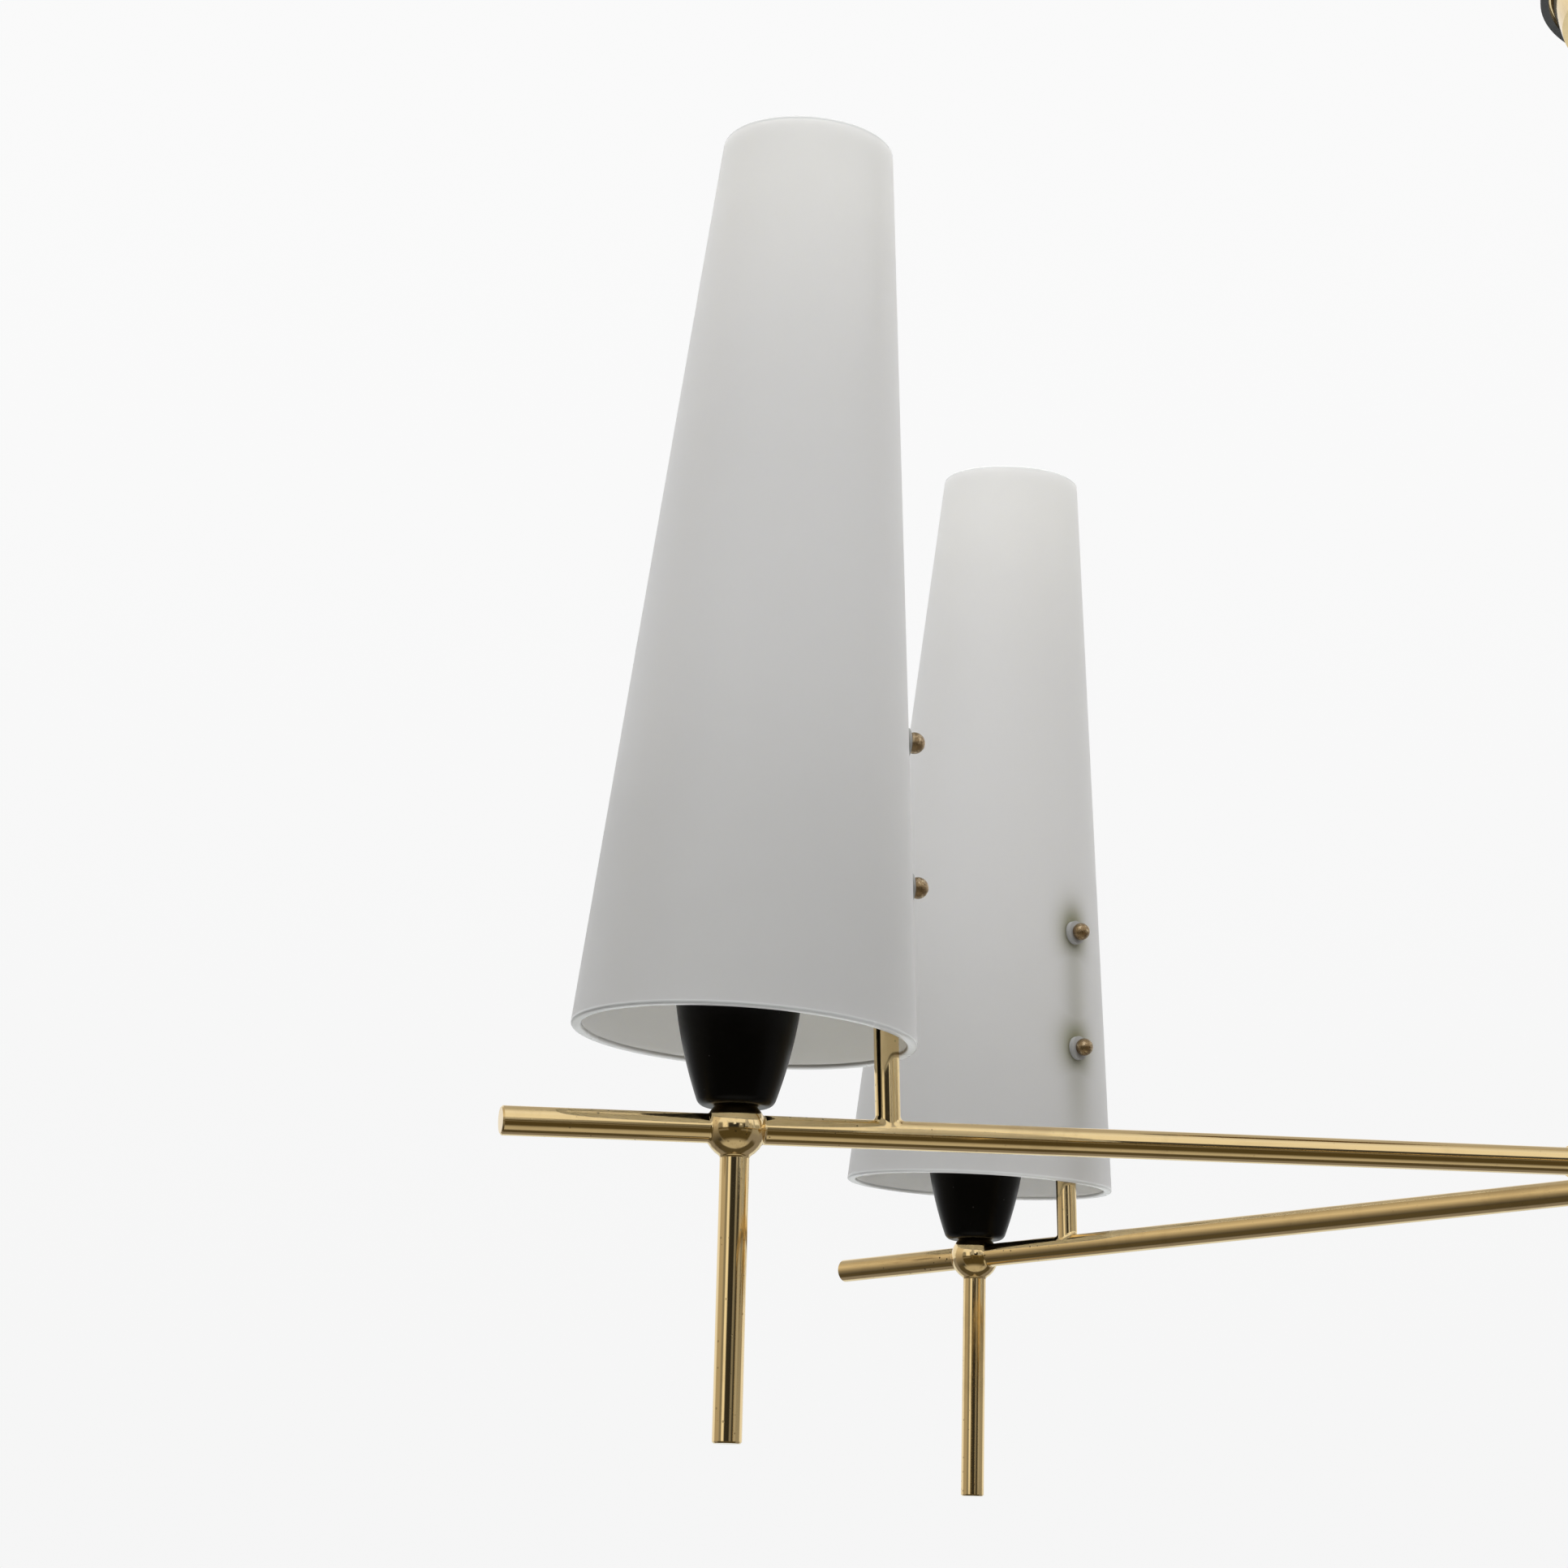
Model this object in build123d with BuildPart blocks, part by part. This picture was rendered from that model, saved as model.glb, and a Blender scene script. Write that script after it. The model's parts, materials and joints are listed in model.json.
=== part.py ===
from build123d import *
import os
from math import atan2, cos, degrees, radians, sin, sqrt, tan

# A ceiling chandelier: brass arms round a hollow hub, each with a ball, a black lamp cup and a tall glass
# shade that two ball-headed screws hold to an upright rod. Millimetres, +Z up, origin on the ceiling.

# Gaps between pieces
solder_gap = 0.05  # joints that are soldered, screwed or pressed
running_gap = 0.05  # where one piece turns or slides in another
glass_gap = 0.3  # glass to the metal beside it
lead_gap = 0.3  # wires to what they end in

# Arms
arm_count = 6
arm_reach = 336.5  # hub axis to ball centre
arm_sag = 1.3  # degrees, how far the loaded arms hang from level
arm_diameter = 8.5
arm_bore = 6.5
arm_tip = 68.0  # ball centre to the free end
arm_tail = 8.0  # arm inside the hub wall
rod_edge = 0.5  # eased edge of a rod's end
ball_diameter = 17.8
ball_flat = 6.4  # ball centre to the flat that the cup stands on
drop_rod_diameter = 8.5
drop_rod_end = 88.4  # ball centre to the rod's lower end
drop_rod_cover = 1.0  # ball left between the arm and the rod's socket
ferrule_diameter = 9.6
ferrule_reach = 74.0  # hub axis to the ferrule's outer end
ferrule_tail = 4.0  # ferrule inside the hub wall

# Lamp cups and holders
cup_height = 43.0
cup_foot_radius = 10.7
cup_belly_radius = 15.1
cup_belly_height = 14.2
cup_mouth_radius = 19.2
cup_foot_round = 3.0
cup_wall = 1.2
nipple_diameter = 6.0
nipple_bore = 4.0
nipple_grip = 8.0  # nipple above the cup's floor
holder_foot_diameter = 14.0
holder_foot_height = 10.0
holder_diameter = 23.0
holder_height = 51.0
socket_diameter = 14.4
socket_depth = 27.0

# Shades
shade_height = 277.0
shade_foot_radius = 50.0
shade_top_radius = 26.0
shade_wall = 3.0
shade_edge = 0.8
shade_lift = 26.4  # arm axis to the middle of the lower rim
shade_shift = 1.8  # ball axis to the middle of the lower rim, towards the hub
shade_lean = 2.7  # degrees, towards the hub
upright_diameter = 7.4
upright_overrun = 12.0  # upright above the upper screw
lower_screw_height = 50.5  # up the glass, from the lower rim
upper_screw_height = 94.5
screw_diameter = 4.0
screw_overrun = 1.0  # screw tip beyond the upright
screw_head_diameter = 6.5
screw_head_centre = 1.9  # seat to the head's centre
washer_diameter = 8.8
washer_thickness = 1.7
spigot_diameter = 5.6
spigot_gap = 0.3  # spigot to the hole in the glass
spigot_short = 0.4  # spigot end to the inner face of the glass

# Hub
hub_drop = 432.0  # ceiling to the point where the arm axes meet
hub_radius = 58.0
hub_height = 34.0
hub_wall = 1.5
hub_round = 5.0
cover_depth = 9.0
cover_rim = 4.0
cover_flare = 8.0  # rim to floor, measured across
finial_collar_radius = 10.0
finial_collar_height = 3.0
finial_ball_diameter = 22.0
finial_sink = 2.0  # ball inside the collar
connector_radius = 24.0
connector_height = 12.0
connector_grip = 5.0  # lead inside the connector

# Stem and ceiling bracket
stem_diameter = 12.0
stem_bore = 10.0
stem_shoulder_radius = 10.0
stem_shoulder_height = 6.0
stem_grip = 8.0  # stem inside the finial
stem_show = 0.5  # stem above the top nut
window_width = 5.0
window_height = 9.0
nut_width = 18.0  # across flats
nut_height = 6.0
bracket_width = 24.0
bracket_thickness = 2.5
bracket_depth = 16.0  # ceiling to the web's upper face
bracket_half_web = 32.0
bracket_foot = 20.0
bracket_hole_diameter = 5.2
bracket_hole_pitch = 84.0
block_length = 17.0
block_width = 24.0
block_height = 13.0
block_inset = 2.0  # block to the bracket's leg
block_hole_diameter = 5.2
block_hole_pitch = 7.6
block_grip = 4.0  # cable inside the block

# Canopy
canopy_radius = 63.0
canopy_wall = 1.2
canopy_lip_width = 2.8
canopy_lip_drop = 32.0  # ceiling to the lip's lower face
ceiling_gap = 1.5
dish_drop = 42.0  # ceiling to the dish's lower face
dish_inset = 3.5  # outside of the shell to the top of the dish's side
dish_flare = 3.5  # top of the dish's side to its floor, measured across
dish_wall = 1.0
collar_radius = 11.0
collar_height = 14.0
collar_edge = 1.0
lock_screw_neck = 1.0  # collar to the lock screw's head
lock_screw_gap = 0.15  # lock screw's tip to the stem

# Wiring
lead_diameter = 2.6
lead_bend = 4.0
lead_end = 12.0  # lead above the cup's floor
cable_diameter = 4.5
cable_bend = 5.0
cable_clear = 0.4  # cable to the top of the stem

# Sizes that follow from those above
arm_radius = arm_diameter / 2
ball_radius = ball_diameter / 2
nipple_radius = nipple_diameter / 2
stem_radius = stem_diameter / 2
screw_radius = screw_diameter / 2
screw_head_radius = screw_head_diameter / 2
hub_level = -hub_drop
ball_level = hub_level - arm_reach * tan(radians(arm_sag))
hub_inside = hub_radius - hub_wall
hub_top = hub_level + hub_height / 2
hub_bottom = hub_level - hub_height / 2
cover_bottom = hub_bottom - cover_depth
bracket_web = -bracket_depth
stem_top = bracket_web + nut_height + stem_show
stem_bottom = cover_bottom - stem_grip
canopy_lip = -canopy_lip_drop
dish_bottom = -dish_drop
dish_side_radius = canopy_radius - dish_inset
dish_floor_radius = dish_side_radius - dish_flare
block_near_end = bracket_half_web - block_inset - block_length
cable_level = stem_top + cable_diameter / 2 + cable_clear
holder_floor = ball_flat + cup_wall
holder_top = holder_floor + holder_height
shade_taper = degrees(atan2(shade_foot_radius - shade_top_radius, shade_height))
shade_thickness = shade_wall / cos(radians(shade_taper))  # measured level, across the slope of the glass
upright_axis = shade_wall + glass_gap + upright_diameter / 2  # outside of the glass to the upright's axis
screw_heights = {"lower": lower_screw_height, "upper": upper_screw_height}
upright_top = upper_screw_height + upright_overrun
screw_tip = shade_wall + glass_gap + upright_diameter + screw_overrun
washer_seat = solder_gap + washer_thickness  # outside of the glass to the washer's outer face

# Turns and alignments that many pieces share
along_x = (0, 90, 0)
from_low_end = (Align.CENTER, Align.CENTER, Align.MIN)
from_high_end = (Align.CENTER, Align.CENTER, Align.MAX)


def placed(frame, position, turn=(0, 0, 0)):
    """Plane at a position in a frame, turned about the frame's axes."""
    return Plane(frame.location * Location(position, turn))


def arm_frame(number):
    """Plane at the centre of an arm's ball: X level, away from the hub, Z up."""
    turn = radians(180 - 360 / arm_count * (number - 1))
    outward = Vector(cos(turn), sin(turn), 0)
    return Plane(origin=outward * arm_reach + Vector(0, 0, ball_level), x_dir=outward, z_dir=(0, 0, 1))


def tube_frame(arm):
    """Plane at the centre of an arm's ball: X out along the sagging tube."""
    return placed(arm, (0, 0, 0), (0, arm_sag, 0))


def from_ball(radius):
    """Distance along a tube from its ball to a radius from the hub axis, negative towards the hub."""
    return (radius - arm_reach) / cos(radians(arm_sag))


def shade_frame(arm):
    """Plane on the lower rim of a shade: Z along the glass's own axis."""
    return placed(arm, (-shade_shift, 0, shade_lift), (0, -shade_lean, 0))


def wall_frame(arm):
    """Plane outside the glass, at the lower rim on the hub side: Z up the glass, X into it."""
    return placed(shade_frame(arm), (-shade_foot_radius, 0, 0), (0, shade_taper, 0))


def side_plane(frame):
    """The upright plane through a frame's X and Z axes."""
    return Plane(origin=frame.origin, x_dir=frame.x_dir, z_dir=-frame.y_dir)


def axis_of(frame):
    return Axis(frame.origin, frame.z_dir)


def save(piece, name):
    piece.part.label = name
    export_step(piece.part, f"parts/{name}.step")


def make_arm_tube(arm):
    """A tube from inside the hub, through the ball, to a closed tip, with a hole on top for the lead."""
    frame = tube_frame(arm)
    tail = from_ball(hub_inside - arm_tail)
    with BuildPart() as tube:
        with Locations(placed(frame, (tail, 0, 0), along_x)):
            Cylinder(arm_radius, arm_tip - tail, align=from_low_end)
        chamfer(tube.faces().sort_by(Axis(frame.origin, frame.x_dir))[-1].edges(), rod_edge)
        with Locations(placed(frame, (tail, 0, 0), along_x)):
            Cylinder(arm_bore / 2, ball_radius - tail, align=from_low_end, mode=Mode.SUBTRACT)
        with Locations(arm):
            Cylinder(nipple_bore / 2, ball_radius, align=from_low_end, mode=Mode.SUBTRACT)
    return tube


def make_shade_upright(arm):
    """A rod saddled on top of the arm, close along the inside of the glass, tapped for the screws."""
    wall = wall_frame(arm)
    tube = tube_frame(arm)
    under_upright = tube.from_local_coords((tube.to_local_coords(wall.origin).X + upright_axis, 0, 0))
    foot = wall.to_local_coords(under_upright).Z
    with BuildPart() as upright:
        with Locations(placed(wall, (upright_axis, 0, foot))):
            Cylinder(upright_diameter / 2, upright_top - foot, align=from_low_end)
        chamfer(upright.faces().sort_by(Axis.Z)[-1].edges(), rod_edge)
        with Locations(placed(tube, (0, 0, 0), along_x)):
            Cylinder(arm_radius + solder_gap, 2 * arm_reach, mode=Mode.SUBTRACT)
        for height in screw_heights.values():
            with Locations(placed(wall, (upright_axis, 0, height), along_x)):
                Cylinder(screw_radius + running_gap, 2 * upright_diameter, mode=Mode.SUBTRACT)
    return upright


def cup_section(frame, inset):
    """Half of the cup's section, inset from its outside, up to the mouth."""
    foot = (cup_foot_radius - inset, inset)
    belly = (cup_belly_radius - inset, cup_belly_height)
    mouth = (cup_mouth_radius - inset, cup_height)
    with BuildSketch(side_plane(frame)) as half:
        with BuildLine():
            Polyline(mouth, (0, cup_height), (0, inset), foot)
            ThreePointArc(foot, belly, mouth)
        make_face()
        fillet(half.vertices().sort_by_distance(foot)[0], cup_foot_round - inset)
    return half.sketch


def make_lamp_cup(arm):
    """A tapered cup that stands on the ball's flat, with a hole in its floor for the nipple."""
    foot = placed(arm, (0, 0, ball_flat))
    with BuildPart() as cup:
        revolve(cup_section(foot, 0), axis=axis_of(foot))
        revolve(cup_section(foot, cup_wall), axis=axis_of(foot), mode=Mode.SUBTRACT)
        with Locations(foot):
            Cylinder(nipple_radius + solder_gap, 2 * cup_wall, mode=Mode.SUBTRACT)
    return cup


def make_lamp_holder(arm):
    """A lamp holder on the cup's floor: a narrow foot on the nipple, and a socket from above."""
    floor = placed(arm, (0, 0, holder_floor))
    with BuildPart() as holder:
        with Locations(floor):
            Cylinder(holder_foot_diameter / 2, holder_height, align=from_low_end)
        with Locations(placed(floor, (0, 0, holder_foot_height))):
            Cylinder(holder_diameter / 2, holder_height - holder_foot_height, align=from_low_end)
        with Locations(floor):
            nipple_hole = nipple_radius + solder_gap
            Cylinder(nipple_hole, nipple_grip + solder_gap, align=from_low_end, mode=Mode.SUBTRACT)
            Cylinder(nipple_bore / 2, lead_end + lead_gap, align=from_low_end, mode=Mode.SUBTRACT)
        with Locations(placed(floor, (0, 0, holder_height))):
            Cylinder(socket_diameter / 2, socket_depth, align=from_high_end, mode=Mode.SUBTRACT)
    return holder


def make_shade(arm):
    """A tapered glass tube, open at both ends, with two holes on the hub side."""
    frame = shade_frame(arm)
    wall = wall_frame(arm)
    with BuildPart() as shade:
        with BuildSketch(side_plane(frame)) as half:
            with BuildLine():
                Polyline(
                    (shade_foot_radius, 0),
                    (shade_top_radius, shade_height),
                    (shade_top_radius - shade_thickness, shade_height),
                    (shade_foot_radius - shade_thickness, 0),
                    close=True,
                )
            make_face()
            fillet(half.vertices(), shade_edge)
        revolve(axis=axis_of(frame))
        for height in screw_heights.values():
            with Locations(placed(wall, (0, 0, height), along_x)):
                Cylinder(spigot_diameter / 2 + spigot_gap, 4 * shade_wall, mode=Mode.SUBTRACT)
    return shade


def make_ball_screw(seat, tip, neck):
    """A screw along the seat's X axis, with a flat-backed ball head that starts neck before the seat."""
    head_back = -neck
    head_middle = head_back - screw_head_centre
    head_back_radius = sqrt(screw_head_radius**2 - screw_head_centre**2)
    with BuildPart() as screw:
        with BuildSketch(side_plane(seat)):
            with BuildLine():
                ThreePointArc(
                    (head_middle - screw_head_radius, 0),
                    (head_middle, screw_head_radius),
                    (head_back, head_back_radius),
                )
                Polyline(
                    (head_back, head_back_radius),
                    (head_back, screw_radius),
                    (tip - rod_edge, screw_radius),
                    (tip, screw_radius - rod_edge),
                    (tip, 0),
                    (head_middle - screw_head_radius, 0),
                )
            make_face()
        revolve(axis=Axis(seat.origin, seat.x_dir))
    return screw


os.makedirs("parts", exist_ok=True)
arms = [arm_frame(number) for number in range(1, arm_count + 1)]

# Pieces that each arm has for itself
for number, arm in enumerate(arms, 1):
    save(make_arm_tube(arm), f"arm_tube_{number}")
    save(make_shade_upright(arm), f"shade_upright_{number}")
    save(make_lamp_cup(arm), f"lamp_cup_{number}")
    save(make_lamp_holder(arm), f"lamp_holder_{number}")
    save(make_shade(arm), f"shade_{number}")
    for place, height in screw_heights.items():
        seat = placed(wall_frame(arm), (0, 0, height))
        save(make_ball_screw(seat, screw_tip, washer_seat + running_gap), f"shade_screw_{number}_{place}")

# Balls, bored for the arm, the nipple above and the drop rod below
with BuildPart() as end_balls:
    for arm in arms:
        with Locations(arm):
            Sphere(ball_radius)
        with Locations(placed(arm, (0, 0, ball_flat))):
            Cylinder(ball_radius, ball_radius, align=from_low_end, mode=Mode.SUBTRACT)
        with Locations(placed(tube_frame(arm), (0, 0, 0), along_x)):
            Cylinder(arm_radius + solder_gap, 2 * ball_diameter, mode=Mode.SUBTRACT)
        with Locations(arm):
            Cylinder(nipple_radius + solder_gap, ball_diameter, align=from_low_end, mode=Mode.SUBTRACT)
        with Locations(placed(arm, (0, 0, -arm_radius - drop_rod_cover))):
            socket = drop_rod_diameter / 2 + solder_gap
            Cylinder(socket, ball_diameter, align=from_high_end, mode=Mode.SUBTRACT)
save(end_balls, "end_balls")

# Drop rods, from their sockets in the balls
with BuildPart() as drop_rods:
    top = -arm_radius - drop_rod_cover - solder_gap
    for arm in arms:
        with Locations(placed(arm, (0, 0, top))):
            Cylinder(drop_rod_diameter / 2, drop_rod_end + top, align=from_high_end)
    chamfer(drop_rods.faces().group_by(Axis.Z)[0].edges(), rod_edge)
save(drop_rods, "drop_rods")

# Hollow nipples, from the arms up through the balls and cups into the lamp holders
with BuildPart() as lamp_nipples:
    foot = arm_radius / cos(radians(arm_sag)) + nipple_radius * tan(radians(arm_sag)) + solder_gap
    for arm in arms:
        with Locations(placed(arm, (0, 0, foot))):
            Cylinder(nipple_radius, holder_floor + nipple_grip - foot, align=from_low_end)
            Cylinder(nipple_bore / 2, holder_top, align=from_low_end, mode=Mode.SUBTRACT)
save(lamp_nipples, "lamp_nipples")

# Ferrules that carry the arms in the hub wall
with BuildPart() as arm_ferrules:
    tail = from_ball(hub_inside - ferrule_tail)
    for arm in arms:
        with Locations(placed(tube_frame(arm), (tail, 0, 0), along_x)):
            Cylinder(ferrule_diameter / 2, from_ball(ferrule_reach) - tail, align=from_low_end)
            Cylinder(arm_radius + solder_gap, ferrule_reach, align=from_low_end, mode=Mode.SUBTRACT)
save(arm_ferrules, "arm_ferrules")

# Washers under the screw heads, with spigots that keep the screws off the glass
with BuildPart() as shade_washers:
    for arm in arms:
        for height in screw_heights.values():
            seat = placed(wall_frame(arm), (-solder_gap, 0, height), along_x)
            with Locations(seat):
                Cylinder(washer_diameter / 2, washer_thickness, align=from_high_end)
                Cylinder(spigot_diameter / 2, solder_gap + shade_wall - spigot_short, align=from_low_end)
                Cylinder(screw_radius + running_gap, 4 * shade_wall, mode=Mode.SUBTRACT)
save(shade_washers, "shade_washers")

# Hub drum, open below
with BuildPart() as hub_drum:
    bore = stem_radius + solder_gap
    with BuildSketch(Plane.XZ) as half:
        with BuildLine():
            Polyline(
                (bore, hub_top),
                (hub_radius, hub_top),
                (hub_radius, hub_bottom),
                (hub_inside, hub_bottom),
                (hub_inside, hub_top - hub_wall),
                (bore, hub_top - hub_wall),
                close=True,
            )
        make_face()
        fillet(half.vertices().sort_by_distance((hub_radius, hub_top))[0], hub_round)
        fillet(half.vertices().sort_by_distance((hub_inside, hub_top - hub_wall))[0], hub_round - hub_wall)
    revolve(axis=Axis.Z)
    for arm in arms:
        with Locations(placed(tube_frame(arm), (from_ball(hub_radius), 0, 0), along_x)):
            Cylinder(ferrule_diameter / 2 + solder_gap, 4 * hub_wall, mode=Mode.SUBTRACT)
save(hub_drum, "hub_drum")

# Hub cover, a shallow dish under the drum
with BuildPart() as hub_cover:
    bore = stem_radius + solder_gap
    lip = hub_radius - cover_rim
    floor = lip - cover_flare
    with BuildSketch(Plane.XZ):
        with BuildLine():
            Polyline(
                (bore, cover_bottom),
                (floor, cover_bottom),
                (lip, hub_bottom - hub_wall),
                (hub_radius, hub_bottom - hub_wall),
                (hub_radius, hub_bottom),
                (lip - hub_wall / 2, hub_bottom),
                (floor - hub_wall / 2, cover_bottom + hub_wall),
                (bore, cover_bottom + hub_wall),
                close=True,
            )
        make_face()
    revolve(axis=Axis.Z)
save(hub_cover, "hub_cover")

# Finial, a ball and collar screwed on the stem's lower end
with BuildPart() as hub_finial:
    with Locations((0, 0, cover_bottom)):
        Cylinder(finial_collar_radius, finial_collar_height, align=from_high_end)
    with Locations((0, 0, cover_bottom - finial_collar_height + finial_sink)):
        Sphere(finial_ball_diameter / 2, align=from_high_end)
    with Locations((0, 0, cover_bottom)):
        bore = stem_radius + solder_gap
        Cylinder(bore, stem_grip + solder_gap, align=from_high_end, mode=Mode.SUBTRACT)
save(hub_finial, "hub_finial")

# Connector ring on the stem, inside the hub
with BuildPart() as hub_connector:
    with Locations((0, 0, hub_level)):
        Cylinder(connector_radius, connector_height)
        Cylinder(stem_radius + solder_gap, 2 * connector_height, mode=Mode.SUBTRACT)
    for arm in arms:
        with Locations(placed(tube_frame(arm), (from_ball(connector_radius), 0, 0), along_x)):
            Cylinder(lead_diameter / 2 + lead_gap, 2 * (connector_grip + lead_gap), mode=Mode.SUBTRACT)
save(hub_connector, "hub_connector")

# Stem tube, with a shoulder on the hub and windows into the connector
with BuildPart() as stem_tube:
    with Locations((0, 0, stem_bottom)):
        Cylinder(stem_radius, stem_top - stem_bottom, align=from_low_end)
    with Locations((0, 0, hub_top)):
        Cylinder(stem_shoulder_radius, stem_shoulder_height, align=from_low_end)
    with Locations((0, 0, stem_bottom)):
        Cylinder(stem_bore / 2, stem_top - stem_bottom, align=from_low_end, mode=Mode.SUBTRACT)
    with Locations((0, 0, hub_level)):
        Box(window_width, 2 * stem_diameter, window_height, mode=Mode.SUBTRACT)
save(stem_tube, "stem_tube")

# Nuts above and below the bracket's web, and under the hub's top
with BuildPart() as stem_nuts:
    under_web = bracket_web - bracket_thickness - nut_height
    under_hub_top = hub_top - hub_wall - nut_height
    for level in (bracket_web, under_web, under_hub_top):
        with BuildSketch(Plane.XY.offset(level)):
            RegularPolygon(nut_width / 2, 6, major_radius=False)
            Circle(stem_radius + solder_gap, mode=Mode.SUBTRACT)
        extrude(amount=nut_height)
save(stem_nuts, "stem_nuts")

# Ceiling bracket, bent from strip, with a screw hole in each foot
with BuildPart() as ceiling_bracket:
    leg = bracket_half_web + bracket_thickness
    end = bracket_half_web + bracket_foot
    with BuildSketch(Plane.XZ):
        with BuildLine():
            Polyline(
                (0, bracket_web),
                (bracket_half_web, bracket_web),
                (bracket_half_web, 0),
                (end, 0),
                (end, -bracket_thickness),
                (leg, -bracket_thickness),
                (leg, bracket_web - bracket_thickness),
                (0, bracket_web - bracket_thickness),
                close=True,
            )
        make_face()
        mirror(about=Plane.YZ)
    extrude(amount=bracket_width / 2, both=True)
    with Locations((0, 0, bracket_web)):
        Cylinder(stem_radius + solder_gap, 4 * bracket_thickness, mode=Mode.SUBTRACT)
    with GridLocations(bracket_hole_pitch, 0, 2, 1):
        Cylinder(bracket_hole_diameter / 2, 4 * bracket_thickness, mode=Mode.SUBTRACT)
save(ceiling_bracket, "ceiling_bracket")

# Terminal block on the bracket's web
with BuildPart() as terminal_block:
    with Locations((block_near_end, 0, bracket_web)):
        Box(block_length, block_width, block_height, align=(Align.MIN, Align.CENTER, Align.MIN))
    with Locations(Location((block_near_end, 0, cable_level), along_x)):
        with GridLocations(0, block_hole_pitch, 1, 3):
            Cylinder(block_hole_diameter / 2, 3 * block_length, mode=Mode.SUBTRACT)
save(terminal_block, "terminal_block")

# Canopy shell, an open ring with a lip turned in below
with BuildPart() as canopy_shell:
    with BuildSketch(Plane.XZ):
        with BuildLine():
            Polyline(
                (canopy_radius - canopy_lip_width, canopy_lip),
                (canopy_radius, canopy_lip),
                (canopy_radius, -ceiling_gap),
                (canopy_radius - canopy_wall, -ceiling_gap),
                (canopy_radius - canopy_wall, canopy_lip + canopy_wall),
                (canopy_radius - canopy_lip_width, canopy_lip + canopy_wall),
                close=True,
            )
        make_face()
    revolve(axis=Axis.Z)
save(canopy_shell, "canopy_shell")

# Canopy dish, hung by its flange in the shell's lip
with BuildPart() as canopy_dish:
    bore = stem_radius + running_gap
    flange = canopy_lip + canopy_wall
    edge = canopy_radius - canopy_wall - solder_gap
    with BuildSketch(Plane.XZ):
        with BuildLine():
            Polyline(
                (bore, dish_bottom),
                (dish_floor_radius, dish_bottom),
                (dish_side_radius, flange),
                (edge, flange),
                (edge, flange + dish_wall),
                (dish_side_radius - dish_wall, flange + dish_wall),
                (dish_floor_radius - dish_wall, dish_bottom + dish_wall),
                (bore, dish_bottom + dish_wall),
                close=True,
            )
        make_face()
    revolve(axis=Axis.Z)
save(canopy_dish, "canopy_dish")

# Canopy collar, soldered under the dish, and the ball-headed screw that locks it on the stem
collar_middle = dish_bottom - collar_height / 2
lock_seat = Plane(origin=(0, -collar_radius, collar_middle), x_dir=(0, 1, 0), z_dir=(0, 0, 1))
with BuildPart() as canopy_collar:
    with Locations((0, 0, dish_bottom)):
        Cylinder(collar_radius, collar_height, align=from_high_end)
    chamfer(canopy_collar.faces().sort_by(Axis.Z)[0].edges(), collar_edge)
    with Locations((0, 0, dish_bottom)):
        Cylinder(stem_radius + running_gap, 3 * collar_height, mode=Mode.SUBTRACT)
    with Locations(placed(lock_seat, (0, 0, 0), along_x)):
        Cylinder(screw_radius + running_gap, 2 * (collar_radius - stem_radius), mode=Mode.SUBTRACT)
save(canopy_collar, "canopy_collar")
lock_tip = collar_radius - stem_radius - lock_screw_gap
save(make_ball_screw(lock_seat, lock_tip, lock_screw_neck), "canopy_lock_screw")

# Wiring: a lead through each arm to its lamp holder, and the cable down the stem
with BuildPart() as wiring:
    for arm in arms:
        tube = tube_frame(arm)
        start = tube.from_local_coords((from_ball(connector_radius - connector_grip), 0, 0))
        end = arm.from_local_coords((0, 0, holder_floor + lead_end))
        with BuildLine():
            FilletPolyline(start, arm.origin, end, radius=lead_bend)
        with BuildSketch(Plane(origin=start, z_dir=tube.x_dir)):
            Circle(lead_diameter / 2)
        sweep()
    with BuildLine(Plane.XZ):
        FilletPolyline(
            (0, hub_level),
            (0, cable_level),
            (block_near_end + block_grip, cable_level),
            radius=cable_bend,
        )
    with BuildSketch(Plane.XY.offset(hub_level)):
        Circle(cable_diameter / 2)
    sweep()
save(wiring, "wiring")
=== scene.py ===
"""Finishes for a multi arm chandelier: polished brass, black lacquered cups and tall opal glass shades."""

import json
from math import atan2, cos, pi, radians, sin, sqrt, tan

import bmesh
import bpy
from mathutils import Matrix, Vector


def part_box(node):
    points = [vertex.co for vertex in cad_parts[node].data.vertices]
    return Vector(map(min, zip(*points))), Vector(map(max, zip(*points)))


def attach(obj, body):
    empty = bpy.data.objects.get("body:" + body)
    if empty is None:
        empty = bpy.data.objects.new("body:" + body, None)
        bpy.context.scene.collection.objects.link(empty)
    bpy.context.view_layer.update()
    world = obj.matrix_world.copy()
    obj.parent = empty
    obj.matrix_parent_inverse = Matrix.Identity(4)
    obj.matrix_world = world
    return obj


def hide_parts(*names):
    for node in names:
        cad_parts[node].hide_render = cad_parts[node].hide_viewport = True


bl_info = {
    "name": "Multi Arm Chandelier",
    "version": (1, 0, 0),
    "blender": (4, 5, 0),
    "location": "View3D > Sidebar > Chandelier",
    "description": "Dresses the solids of a brass chandelier and sets up a plain studio round it",
    "category": "Object",
}

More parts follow.
